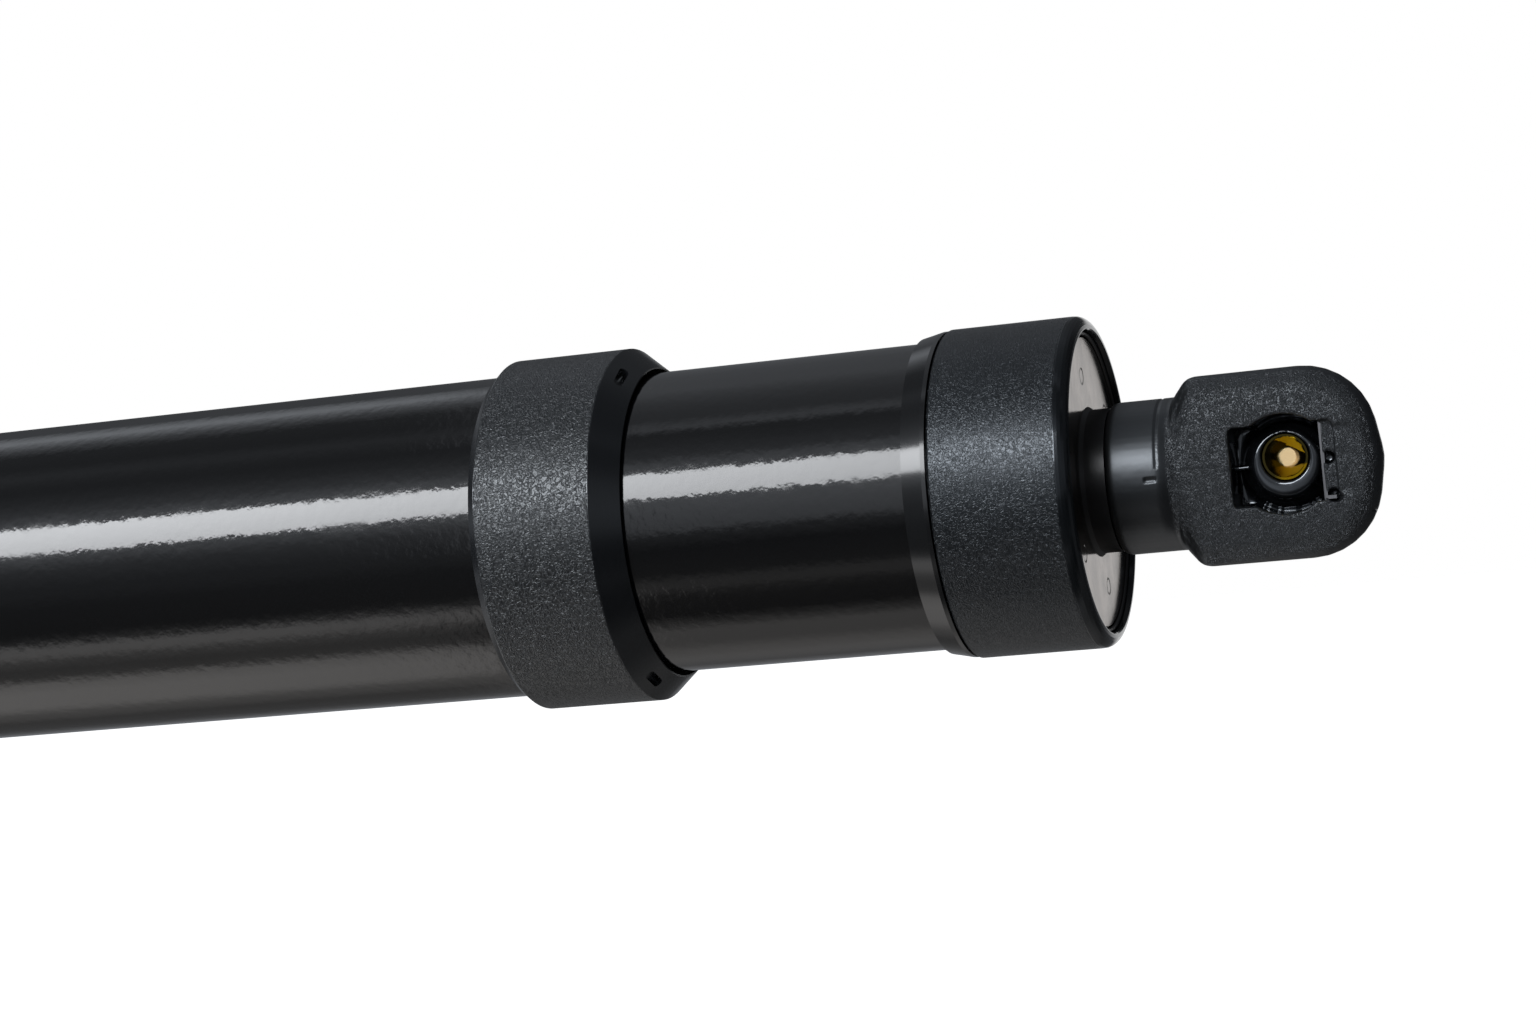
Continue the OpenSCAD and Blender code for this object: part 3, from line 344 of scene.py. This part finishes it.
dress(turned_metal("zinc plated steel", (0.60, 0.60, 0.61), 0.3), "stud_steel",
      "drive_stud", "rod_stud", "armature_shaft", "spindle")

# Ball sockets
# Glass-filled nylon heads moulded in two halves, so that a parting line shows.
# Fine grain covers the flat faces; the neck, the dome and the rim are smoother.
socket_black = (0.0030, 0.0034, 0.0040)
socket_half_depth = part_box("rod_socket")[1].y
rod_ball_x, drive_ball_x = 0.52, 0.0
socket_cell, fine_cell = 0.19 * MM, 0.17 * MM
socket_smoothing = 8
socket_shine, socket_tint = 0.9, (0.94, 1.0, 1.06, 1)
side_roughness, face_roughness, window_roughness = 0.37, 0.43, 0.09
face_grain_depth = 0.095 * MM
side_grain_share, neck_ripple_share = 0.12, 0.2
window_reach, window_gloss_depth, window_edge = 6.7 * MM, 1.1 * MM, 0.2 * MM
head_from, head_grained_from = -14.0 * MM, -12.8 * MM
socket_plastic, tree, shader = finish_material("fine grained socket", socket_black, 0.3)
shader.inputs["Specular IOR Level"].default_value = socket_shine
shader.inputs["Specular Tint"].default_value = socket_tint
place = place_on(tree)
axes = node(tree, "ShaderNodeSeparateXYZ", {0: place}).outputs
facing = node(tree, "ShaderNodeSeparateXYZ", {
    0: node(tree, "ShaderNodeNewGeometry").outputs["Normal"]}).outputs["Y"]
flat_face = band(tree, math_node(tree, "ABSOLUTE", facing), 0.55, 0.95)


def outward_from_ball(tree, x):
    """How far a point lies beyond its ball's centre, towards the strut's nearer end."""
    middle = (rod_ball_x + drive_ball_x) / 2
    return math_node(tree, "SUBTRACT", math_node(
        tree, "ABSOLUTE", math_node(tree, "SUBTRACT", x, middle)), middle)


window_out = radius_of(tree, outward_from_ball(tree, axes["X"]), axes["Z"])
in_window = math_node(
    tree, "MULTIPLY", band(tree, window_out, window_reach, window_reach + window_edge, 1.0, 0.0),
    band(tree, axes["Y"], window_gloss_depth - socket_half_depth,
         window_gloss_depth - socket_half_depth + window_edge))
on_head = band(tree, outward_from_ball(tree, axes["X"]), head_from, head_grained_from)
grain = use_group(tree, grain_group, place, Cell=2400.0, Warp=1.8, Fine=0.7)
grain_share = math_node(
    tree, "MULTIPLY", math_node(
        tree, "MULTIPLY", on_head, band(tree, flat_face, 0.0, 1.0, side_grain_share, 1.0)),
    math_node(tree, "SUBTRACT", 1.0, in_window))
sink = use_group(tree, ripple_group, place, Ripple=700.0)
sink_share = math_node(tree, "SUBTRACT", neck_ripple_share, on_head, clamp=True)
emboss(tree, shader, math_node(
    tree, "ADD", math_node(tree, "MULTIPLY", grain["Height"], grain_share),
    math_node(tree, "MULTIPLY", sink["Height"], sink_share)), face_grain_depth)
dull = band(tree, math_node(tree, "MULTIPLY", flat_face, on_head), 0.0, 1.0,
            side_roughness, face_roughness)
tree.links.new(band(tree, in_window, 0.0, 1.0, dull, window_roughness), shader.inputs["Roughness"])


def add_box(builder, low, high):
    """Adds a closed box between two corners to a mesh."""
    size = Vector(high) - Vector(low)
    for vertex in bmesh.ops.create_cube(builder, size=1.0)["verts"]:
        vertex.co = Vector(low) + Vector(s * (c + 0.5) for s, c in zip(size, vertex.co))


def remeshed(source, name, cell, smoothing=0):
    """A new object with an even mesh of this cell size over the source's outer surface."""
    remesh = source.modifiers.new("remesh", "REMESH")
    remesh.mode = "VOXEL"
    remesh.voxel_size = cell
    if smoothing:
        smooth = source.modifiers.new("smooth", "SMOOTH")
        smooth.factor = 0.5
        smooth.iterations = smoothing
    depsgraph = bpy.context.evaluated_depsgraph_get()
    made = bpy.data.objects.new(name, bpy.data.meshes.new_from_object(source.evaluated_get(depsgraph)))
    bpy.context.scene.collection.objects.link(made)
    bpy.data.objects.remove(source)
    return made


# Shelf beside the window, in steps: from x, to x, half height and depth below the face, in mm
window_shelf = ((4.45, 6.3, 4.6, 0.8), (6.1, 9.3, 4.1, 0.3))
shelf_thickness = 1.6
window_dimples = ((5.15, 0.3), (5.45, -4.1))
dimple_r, dimple_depth = 0.72 * MM, 3.0 * MM
neck_round_r, head_corner_r = 9.2 * MM, 13.7 * MM
shoulder_from, shoulder_length = -13.8 * MM, 4.4 * MM
# Twice the crown's radii across and along the face, in mm, and where it is highest
crown_across, crown_along, crown_top_x = 112, 250, 3 * MM
crown_depth, crown_from, crown_fade = 4 * MM, -15 * MM, 3 * MM


def smooth_step(value):
    """A smooth rise from 0 to 1."""
    value = min(max(value, 0.0), 1.0)
    return value * value * (3 - 2 * value)


def shape_shoulder(point):
    """The head swells out of the round neck, so that its flat face narrows to a tongue."""
    limit = neck_round_r + (head_corner_r - neck_round_r) * smooth_step(
        (point.x - shoulder_from) / shoulder_length)
    out = math.hypot(point.y, point.z)
    if shoulder_from < point.x < shoulder_from + shoulder_length and out > limit:
        point.y, point.z = point.y * limit / out, point.z * limit / out


def crown_face(point):
    """The window side is slightly crowned, as a thick moulding sinks away from its middle."""
    sag = (point.z ** 2 / crown_across + (point.x - crown_top_x) ** 2 / crown_along) / MM
    near_face = smooth_step((crown_depth - socket_half_depth - point.y) / crown_depth)
    point.y += sag * near_face * smooth_step((point.x - crown_from) / crown_fade)


def press_dimples(point):
    """Two ejector pits in the shelf."""
    if point.y > window_gloss_depth - socket_half_depth:
        return
    for x, z in window_dimples:
        if math.hypot(point.x - x * MM, point.z - z * MM) < dimple_r:
            point.y = dimple_depth - socket_half_depth


# Marks of the mould: half a ring and a tick on the neck, a raised line on the tongue and a
# nick at the tip, each with its place, half width and depth
ring_x, ring_above, ring_half, ring_depth = -14.8 * MM, 0.8 * MM, 0.16 * MM, 0.10 * MM
tick_from, tick_to, tick_z = -16.3 * MM, -14.9 * MM, -0.4 * MM
tick_half, tick_depth = 0.24 * MM, 0.2 * MM
line_from, line_to, line_z = -12.4 * MM, -7.2 * MM, 0.7 * MM
line_half, line_height = 0.13 * MM, 0.06 * MM
nick_from, nick_z, nick_half, nick_depth = 9.5 * MM, -6.2 * MM, 0.14 * MM, 0.16 * MM


def mark_parting(point):
    """The seam of the mould halves: lines on the neck and the tongue and a nick at the tip."""
    if abs(point.x - ring_x) < ring_half and point.z > ring_above:
        scale = 1 - ring_depth / math.hypot(point.y, point.z)
        point.y, point.z = point.y * scale, point.z * scale
    if tick_from < point.x < tick_to and point.y < 0 and abs(point.z - tick_z) < tick_half:
        point.y += tick_depth
    if line_from < point.x < line_to and point.y < 0 and abs(point.z - line_z) < line_half:
        point.y -= line_height
    if point.x > nick_from and abs(point.z - nick_z) < nick_half:
        point.x -= nick_depth


def moulded_socket(cad_name, ball_x, outward):
    """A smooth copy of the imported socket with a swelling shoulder, a shelf and its mould marks."""
    builder = bmesh.new()
    builder.from_mesh(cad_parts[cad_name].data)
    for from_x, to_x, half_height, depth in window_shelf:
        ends = sorted(ball_x + outward * x * MM for x in (from_x, to_x))
        add_box(builder, (ends[0], depth * MM - socket_half_depth, -half_height * MM),
                (ends[1], (depth + shelf_thickness) * MM - socket_half_depth, half_height * MM))
    bmesh.ops.remove_doubles(builder, verts=builder.verts, dist=0.002 * MM)
    blank = bpy.data.objects.new("blank", bpy.data.meshes.new("blank"))
    builder.to_mesh(blank.data)
    builder.free()
    bpy.context.scene.collection.objects.link(blank)

    def each_point(made, *changes):
        """Moves every point by these changes, measured outward from the ball."""
        for vertex in made.data.vertices:
            point = Vector(((vertex.co.x - ball_x) * outward, vertex.co.y, vertex.co.z))
            for change in changes:
                change(point)
            vertex.co = (point.x * outward + ball_x, point.y, point.z)

    shaped = remeshed(blank, "shaped", socket_cell)
    each_point(shaped, shape_shoulder, press_dimples, crown_face)
    made = remeshed(shaped, cad_name + "_moulded", fine_cell, socket_smoothing)
    each_point(made, mark_parting)
    made.data.polygons.foreach_set("use_smooth", [True] * len(made.data.polygons))
    made.data.materials.clear()
    made.data.materials.append(socket_plastic)
    return made


for cad_name, body, ball_x, outward in (
        ("rod_socket", "rod_side", rod_ball_x, 1), ("drive_socket", "drive_side", drive_ball_x, -1)):
    socket = moulded_socket(cad_name, ball_x, outward)
    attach(socket, body)
    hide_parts(cad_name)

# Liners and clips
# Each ball turns in a pressed metal liner with a cone-shaped cup that shows through the
# dome, and a steel clip keeps the ball in. The liner is yellow passivated, with light and
# shade painted into its colour: a painted highlight in pale gold on the cup's upper wall,
# painted shade in dark olive elsewhere, a painted reflection in deeper gold low down,
# and a pale sandy floor in the cup.
# Painted light on the liner: pale gold for the painted highlight, deeper gold for the painted reflection,
# dark olive for the painted shade
painted_highlight_gold, painted_reflection_gold = (1.0, 0.66, 0.02), (0.34, 0.21, 0.007)
painted_shade_olive, cup_sand = (0.05, 0.04, 0.012), (0.60, 0.45, 0.25)
cup_rise, cup_rim_r, cup_floor_r = 0.8 * MM, 2.38 * MM, 1.1 * MM
cup_floor_x, cup_floor_z, cup_stretch = 0.3 * MM, -0.1 * MM, 0.85
cup_uneven, tone_edge = 0.12 * MM, 0.12 * MM
highlight_slope, highlight_above = 0.537, 1.38 * MM
reflection_below, reflection_beyond = -0.95 * MM, -1.5 * MM
liner_gloss, cup_matt = 0.14, 0.5
clip_grey = (0.14, 0.14, 0.146)
liner_metal, tree, shader = finish_material("passivated liner with painted light", painted_shade_olive, liner_gloss, 1.0)
place = place_on(tree)
axes = node(tree, "ShaderNodeSeparateXYZ", {0: place}).outputs
uneven = node(tree, "ShaderNodeTexNoise", {"Vector": place, "Scale": 900.0, "Detail": 2.0}).outputs[0]
shift = band(tree, uneven, 0.3, 0.7, -cup_uneven, cup_uneven)
cup_x = math_node(tree, "ADD", outward_from_ball(tree, axes["X"]), shift)
cup_z = math_node(tree, "SUBTRACT", math_node(tree, "ADD", axes["Z"], shift), cup_rise)
cup_out = radius_of(tree, cup_x, cup_z)
in_cup = band(tree, cup_out, cup_rim_r - 0.1 * MM, cup_rim_r, 1.0, 0.0)
# Painted highlight: the upper side of the cup's wall, past a slanted line, is coloured pale gold
painted_highlight_side = math_node(tree, "MULTIPLY", in_cup, band(
    tree, math_node(tree, "ADD", cup_z, math_node(tree, "MULTIPLY", cup_x, highlight_slope)),
    highlight_above, highlight_above + tone_edge))
# Painted reflection: the low part of the liner is coloured deeper gold
painted_reflection_low = math_node(
    tree, "MULTIPLY", band(tree, cup_z, reflection_below - 0.25 * MM, reflection_below, 1.0, 0.0),
    band(tree, cup_x, reflection_beyond, reflection_beyond + 1.3 * MM))
floor_out = radius_of(
    tree, math_node(tree, "MULTIPLY", math_node(tree, "SUBTRACT", cup_x, cup_floor_x), cup_stretch),
    math_node(tree, "SUBTRACT", cup_z, cup_floor_z))
sandy = band(tree, floor_out, cup_floor_r - 0.25 * MM, cup_floor_r + 0.15 * MM, 1.0, 0.0)
# Painted shade in dark olive everywhere else, with the painted reflection and the painted highlight laid
# over it
painted_liner_light = mixed(tree, painted_reflection_low, painted_shade_olive, painted_reflection_gold)
painted_liner_light = mixed(tree, painted_highlight_side, painted_liner_light, painted_highlight_gold)
tree.links.new(mixed(tree, sandy, painted_liner_light, cup_sand), shader.inputs["Base Color"])
sand = node(tree, "ShaderNodeTexNoise", {"Vector": place, "Scale": 6000.0, "Detail": 3.0}).outputs[0]
emboss(tree, shader, math_node(tree, "MULTIPLY", sand, band(tree, sandy, 0.0, 1.0, 0.15, 1.0)), 0.03 * MM)
matt = math_node(tree, "MAXIMUM", sandy, math_node(tree, "MULTIPLY", math_node(
    tree, "MAXIMUM", painted_highlight_side, math_node(tree, "MULTIPLY", painted_reflection_low, in_cup)), 0.8))
tree.links.new(band(tree, matt, 0.0, 1.0, liner_gloss, cup_matt), shader.inputs["Roughness"])
dress(liner_metal, "liner_metal", "rod_seat_liner", "drive_seat_liner")
dress(turned_metal("spring steel strip", clip_grey, 0.42), "clip_steel", "rod_clip", "drive_clip")

# Spindle, nut and push tube
# The rolled spindle drives an acetal nut, whose keys run in the slotted guide tube.
# The nut pushes the rod end through a drawn tube; end ring and nut are moulded.
dress(turned_metal("drawn plated steel", (0.50, 0.50, 0.51), 0.36, 700.0), "can_steel",
      "motor_can", "push_tube", "guide_tube")
nut_cream = (0.74, 0.72, 0.66)
nut_plastic, tree, shader = finish_material("acetal", nut_cream, 0.38)
shader.inputs["Subsurface Weight"].default_value = 0.08
shader.inputs["Subsurface Radius"].default_value = (0.4 * MM, 0.35 * MM, 0.3 * MM)
acetal_noise = node(tree, "ShaderNodeTexNoise", {"Vector": place_on(tree), "Scale": 500.0, "Detail": 2.0})
emboss(tree, shader, acetal_noise.outputs[0], 0.004 * MM)
dress(nut_plastic, "nut_plastic", "spindle_nut", "spindle_end_ring")

# Coil spring
# Cold wound spring steel wire, shot peened and oiled, pressed between two seats.
spring_low, spring_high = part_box("compression_spring")
wire_r = 1.38 * MM
spring_turns, end_turns = 30, 1
end_gap, bore_gap = 0.5 * MM, 0.02 * MM
steps_per_turn, wire_sides = 36, 12
spring_first, spring_last = spring_low.x + wire_r, spring_high.x - wire_r
coil_r = spring_high.z - wire_r - bore_gap
end_pitch = 2 * wire_r + end_gap
open_pitch = (spring_last - spring_first - 2 * end_turns * end_pitch) / (spring_turns - 2 * end_turns)


def wire_x(turn):
    """How far along the strut the wire's centre has come after this many turns."""
    first = min(turn, end_turns)
    middle = max(0.0, min(turn, spring_turns - end_turns) - end_turns)
    last = max(0.0, turn - (spring_turns - end_turns))
    return spring_first + end_pitch * (first + last) + open_pitch * middle


spring_mesh = bmesh.new()
rings = []
for step in range(spring_turns * steps_per_turn + 1):
    turn = step / steps_per_turn
    angle = 2 * math.pi * turn
    ring = []
    for side in range(wire_sides):
        around = 2 * math.pi * side / wire_sides
        r = coil_r + wire_r * math.cos(around)
        ring.append(spring_mesh.verts.new(
            (wire_x(turn) + wire_r * math.sin(around), r * math.cos(angle), r * math.sin(angle))))
    rings.append(ring)
for ring, following in zip(rings, rings[1:]):
    for side in range(wire_sides):
        after = (side + 1) % wire_sides
        spring_mesh.faces.new((ring[side], ring[after], following[after], following[side]))
spring_mesh.faces.new(reversed(rings[0]))
spring_mesh.faces.new(rings[-1])
for face in spring_mesh.faces:
    face.smooth = True
bmesh.ops.recalc_face_normals(spring_mesh, faces=spring_mesh.faces)
spring_data = bpy.data.meshes.new("coil_spring")
spring_mesh.to_mesh(spring_data)
spring_mesh.free()
coil_spring = bpy.data.objects.new("coil_spring", spring_data)
bpy.context.scene.collection.objects.link(coil_spring)
spring_steel, tree, shader = finish_material("oiled spring steel", (0.14, 0.145, 0.16), 0.38, 0.9)
peening = node(tree, "ShaderNodeTexNoise", {"Vector": place_on(tree), "Scale": 1800.0, "Detail": 2.0})
emboss(tree, shader, peening.outputs[0], 0.006 * MM)
spring_data.materials.append(spring_steel)
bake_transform(coil_spring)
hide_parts("compression_spring")

# Bearing and spring seats
# A small ball bearing in the housing carries the spindle's pull and push.
# Glass-filled plastic rings seat the spring at both ends; the motor's end bell is the same.
dress(turned_metal("ground bearing steel", (0.66, 0.66, 0.68), 0.16, 2500.0, 0.001 * MM), "bearing_steel",
      "bearing_outer_ring", "bearing_inner_ring", "bearing_ball_set")
dress(turned_metal("pressed brass", (0.62, 0.43, 0.17), 0.34), "cage_brass", "bearing_cage")
bell_plastic, tree, shader = finish_material("moulded bell plastic", (0.035, 0.035, 0.04), 0.45)
bell_grain = use_group(tree, grain_group, place_on(tree), Cell=5000.0, Warp=0.6, Fine=0.3)
emboss(tree, shader, bell_grain["Height"], 0.006 * MM)
dress(bell_plastic, "bell_plastic", "motor_end_bell", "drive_spring_seat", "rod_spring_seat")

# Motor
# A permanent magnet motor: ferrite magnets in a drawn can, a laminated armature
# wound with enamelled wire, a copper commutator and two carbon brushes.
magnet_grey, tree, shader = finish_material("sintered ferrite", (0.075, 0.075, 0.08), 0.6, 0.3)
ferrite_noise = node(tree, "ShaderNodeTexNoise", {"Vector": place_on(tree), "Scale": 2200.0, "Detail": 4.0})
emboss(tree, shader, ferrite_noise.outputs[0], 0.01 * MM)
dress(magnet_grey, "magnet", "motor_magnets")

brush_carbon, tree, shader = finish_material("brush carbon", (0.028, 0.026, 0.026), 0.5)
carbon_noise = node(tree, "ShaderNodeTexNoise", {"Vector": place_on(tree), "Scale": 3000.0, "Detail": 4.0})
emboss(tree, shader, carbon_noise.outputs[0], 0.008 * MM)
dress(brush_carbon, "brush_carbon", "motor_brushes")
dress(turned_metal("commutator copper", (0.76, 0.37, 0.20), 0.28), "copper", "commutator")

sheet_steel, winding_copper = (0.34, 0.33, 0.33), (0.45, 0.16, 0.05)
lamination_pitch = 0.5 * MM
wound_core, tree, shader = finish_material("wound armature core", sheet_steel, 0.4, 0.9)
place = place_on(tree)
sheets = node(tree, "ShaderNodeTexWave", {
    "Vector": place, "Scale": math.pi / (10 * lamination_pitch), "Distortion": 0.0},
    wave_type="BANDS", bands_direction="X")
core_axes = node(tree, "ShaderNodeSeparateXYZ", {0: place}).outputs
core_out = radius_of(tree, core_axes["Y"], core_axes["Z"])
core_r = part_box("armature_core")[1].z
pole_depth = 1.6 * MM
wires_show = band(tree, core_out, core_r - pole_depth, core_r - 0.75 * pole_depth)
two_tone(tree, shader, wires_show, winding_copper, sheet_steel)
emboss(tree, shader, sheets.outputs["Fac"], 0.02 * MM)
dress(wound_core, "wound_core", "armature_core")

# Gears and brake
# Two planetary stages run in a phosphated ring gear; the suns are hobbed brass,
# the planets and carriers hardened steel, and a lined disc brakes the output.
gear_case, tree, shader = finish_material("phosphated gear case", (0.085, 0.09, 0.095), 0.55, 0.5)
phosphate = node(tree, "ShaderNodeTexVoronoi", {"Vector": place_on(tree), "Scale": 3500.0})
emboss(tree, shader, phosphate.outputs["Distance"], 0.008 * MM)
dress(gear_case, "gear_case", "ring_gear", "brake_housing")
dress(turned_metal("hobbed brass", (0.74, 0.53, 0.22), 0.3), "gear_brass", "sun_gear")
dress(turned_metal("ground gear steel", (0.42, 0.42, 0.44), 0.28), "gear_steel",
      "first_carrier", "first_planet_a", "first_planet_b", "first_planet_c", "second_carrier",
      "second_planet_a", "second_planet_b", "second_planet_c", "shaft_coupling")
lining, tree, shader = finish_material("pressed brake lining", (0.20, 0.14, 0.085), 0.75)
lining_noise = node(tree, "ShaderNodeTexNoise", {"Vector": place_on(tree), "Scale": 1500.0, "Detail": 6.0})
two_tone(tree, shader, band(tree, lining_noise.outputs[0], 0.4, 0.65),
         (0.10, 0.07, 0.045), (0.26, 0.19, 0.12))
emboss(tree, shader, lining_noise.outputs[0], 0.03 * MM)
dress(lining, "brake_lining", "brake_disc")

# Floor
# A plain pale studio sheet some way below the strut. The camera sees it as white apart
# from the soft shadow; what the gloss paint shows of it is given with the studio light.
table_drop = 0.13
table_half_width, table_depth = 3.0, 3.0
table_glow = 0.93
table_mesh = bpy.data.meshes.new("studio_sheet")
table_mesh.from_pydata(
    [(-table_half_width, -table_depth, -table_drop), (table_half_width, -table_depth, -table_drop),
     (table_half_width, table_depth, -table_drop), (-table_half_width, table_depth, -table_drop)],
    [], [(0, 1, 2, 3)])
table = bpy.data.objects.new("studio_sheet", table_mesh)
bpy.context.scene.collection.objects.link(table)
table.visible_glossy = False
table_paper = bpy.data.materials.new("pale paper")
table_paper.use_nodes = True
tree = table_paper.node_tree
tree.nodes.clear()
paper_diffuse = node(tree, "ShaderNodeBsdfDiffuse", {"Color": (0.80, 0.79, 0.78, 1)})
paper_glow = node(tree, "ShaderNodeEmission", {
    "Color": (1, 1, 1, 1),
    "Strength": math_node(tree, "MULTIPLY", node(tree, "ShaderNodeLightPath").outputs["Is Camera Ray"],
                          table_glow)})
paper_sum = node(tree, "ShaderNodeAddShader", {0: paper_diffuse.outputs[0], 1: paper_glow.outputs[0]})
tree.links.new(paper_sum.outputs[0], node(tree, "ShaderNodeOutputMaterial").inputs["Surface"])
table_mesh.materials.append(table_paper)

# Studio light
# A strip softbox hangs in front and above, with pale sheets and dark gaps all round the
# strut. The gloss paint shows them as lines, which differ towards the strut's two ends.
# Only the backdrop right behind the strut shows as white.
world = bpy.data.worlds.new("studio")
bpy.context.scene.world = world
world.use_nodes = True
tree = world.node_tree
tree.nodes.clear()
# Angle about the strut's axis (0 in front, 90 above, -90 below), brightness towards each end
room_bands = (
    (-165, 0.25, 0.25), (-146, 0.14, 0.20), (-130, 0.18, 0.44), (-117, 0.45, 0.52), (-107, 1.00, 0.46),
    (-92, 1.35, 0.62), (-83, 1.30, 0.26), (-76, 0.45, 0.08), (-69, 0.40, 0.09), (-62, 0.60, 0.10),
    (-56, 1.20, 0.16), (-51, 1.25, 0.32), (-46, 0.30, 0.32), (-40, 0.10, 0.12), (-20, 0.12, 0.08),
    (-10, 0.20, 0.24), (-5, 0.21, 0.75), (8, 0.40, 1.02), (17, 0.95, 1.20), (44, 1.00, 0.90),
    (50, 0.55, 0.42), (60, 0.29, 0.28), (70, 0.18, 0.20), (76, 0.20, 0.70), (84, 0.27, 0.34),
    (93, 0.15, 0.34), (108, 0.14, 0.40), (117, 0.36, 0.44), (129, 0.86, 0.32), (142, 0.16, 0.22),
    (160, 0.08, 0.14))
brightest_band = 2.0
direction = node(tree, "ShaderNodeSeparateXYZ", {
    0: node(tree, "ShaderNodeTexCoord").outputs["Generated"]}).outputs
about_axis = math_node(
    tree, "ARCTAN2", direction["Z"], math_node(tree, "MULTIPLY", direction["Y"], -1.0))
bands = node(tree, "ShaderNodeValToRGB", {
    0: node(tree, "ShaderNodeMapRange", {
        "Value": about_axis, "From Min": -math.pi, "From Max": math.pi}).outputs["Result"]})
ramp = bands.color_ramp
while len(ramp.elements) < len(room_bands):
    ramp.elements.new(0.5)
for stop, (angle, far_end, near_end) in zip(ramp.elements, room_bands):
    stop.position = (angle + 180) / 360
    stop.color = (far_end / brightest_band, near_end / brightest_band, 0, 1)
ends = node(tree, "ShaderNodeSeparateColor", {0: bands.outputs[0]}).outputs
towards_near_end = band(tree, direction["X"], -0.39, -0.33)
brightness = node(tree, "ShaderNodeMix", {
    0: towards_near_end, 2: ends["Red"], 3: ends["Green"]}, data_type="FLOAT").outputs[0]
round_camera = band(tree, direction["X"], -0.19, -0.12, 1.0, 0.4)
behind_camera = band(tree, direction["X"], 0.30, 0.55, 1.0, 0.5)
brightness = math_node(
    tree, "MULTIPLY", brightness, math_node(tree, "MULTIPLY", round_camera, behind_camera))
warmth = band(tree, direction["Z"], -0.9, 0.0)
room_tint = node(tree, "ShaderNodeMix", {
    0: warmth, 6: (1.02, 0.99, 0.97, 1), 7: (0.95, 1.0, 1.08, 1)}, data_type="RGBA").outputs[2]
room = node(tree, "ShaderNodeVectorMath", {
    0: room_tint, "Scale": math_node(tree, "MULTIPLY", brightness, brightest_band)},
    operation="SCALE").outputs[0]
rays = node(tree, "ShaderNodeLightPath").outputs
backdrop = math_node(
    tree, "MULTIPLY", band(tree, direction["Y"], 0.955, 0.985),
    math_node(tree, "MAXIMUM", rays["Is Glossy Ray"], rays["Is Transmission Ray"]))
white_share = math_node(tree, "MAXIMUM", rays["Is Camera Ray"], backdrop)
sky = mixed(tree, white_share, room, (1, 1, 1))
sky_light = node(tree, "ShaderNodeBackground", {"Color": sky, "Strength": 1.0})
tree.links.new(sky_light.outputs[0], node(tree, "ShaderNodeOutputWorld").inputs["Surface"])

strip_distance = 0.8
strip_low, strip_high = math.radians(19.2), math.radians(38.5)
strip_tilt = math.radians(5.5)
strip_left, strip_right = -0.30, 0.50
strip_radiance_low, strip_radiance_high = 10.5, 13.2
strip_near_share = 0.82
strip_middle = (strip_low + strip_high) / 2
strip_width = 2 * strip_distance * math.tan((strip_high - strip_low) / 2)
strip_length = strip_right - strip_left
strip = bpy.data.lights.new("strip softbox", "AREA")
strip.shape = "RECTANGLE"
strip.size, strip.size_y = strip_length, strip_width
strip.energy = math.pi * strip_length * strip_width
strip.use_nodes = True
tree = strip.node_tree
strip_place = node(tree, "ShaderNodeSeparateXYZ", {
    0: node(tree, "ShaderNodeNewGeometry").outputs["Position"]}).outputs
strip_strength = node(tree, "ShaderNodeMapRange", {
    "Value": strip_place["Z"], "From Min": strip_distance * math.sin(strip_low),
    "From Max": strip_distance * math.sin(strip_high),
    "To Min": strip_radiance_low, "To Max": strip_radiance_high}).outputs["Result"]
strip_share = node(tree, "ShaderNodeMapRange", {
    "Value": strip_place["X"], "From Min": 0.0, "From Max": 0.3,
    "To Min": 1.0, "To Max": strip_near_share}).outputs["Result"]
strip_glow = tree.nodes["Emission"].inputs
strip_glow["Color"].default_value = (0.98, 1.0, 1.03, 1)
tree.links.new(math_node(tree, "MULTIPLY", strip_strength, strip_share), strip_glow["Strength"])
strip_object = bpy.data.objects.new("strip softbox", strip)
strip_object.matrix_world = (
    Matrix.Translation(((strip_left + strip_right) / 2, -strip_distance * math.cos(strip_middle),
                        strip_distance * math.sin(strip_middle)))
    @ Matrix.Rotation(math.pi / 2 - strip_middle, 4, "X") @ Matrix.Rotation(-strip_tilt, 4, "Z"))
bpy.context.scene.collection.objects.link(strip_object)

# Camera
# It stands at the rod's end, level with the strut, and looks back along it.
camera_place = (0.5747, -0.3901, 0.0001)
camera_right, camera_up = (0.9516, 0.2924, -0.0947), (0.0905, 0.0278, 0.9955)
camera_back = (0.2937, -0.9559, 0.0)
camera_data = bpy.data.cameras.new("photo camera")
camera_data.lens = 77.3
camera_data.sensor_width = 36.0
camera_data.clip_start = 0.01
camera = bpy.data.objects.new("photo camera", camera_data)
camera.matrix_world = Matrix([
    [camera_right[i], camera_up[i], camera_back[i], camera_place[i]] for i in range(3)] + [[0, 0, 0, 1]])
bpy.context.scene.collection.objects.link(camera)
bpy.context.scene.camera = camera
bpy.context.scene.view_settings.view_transform = "Standard"
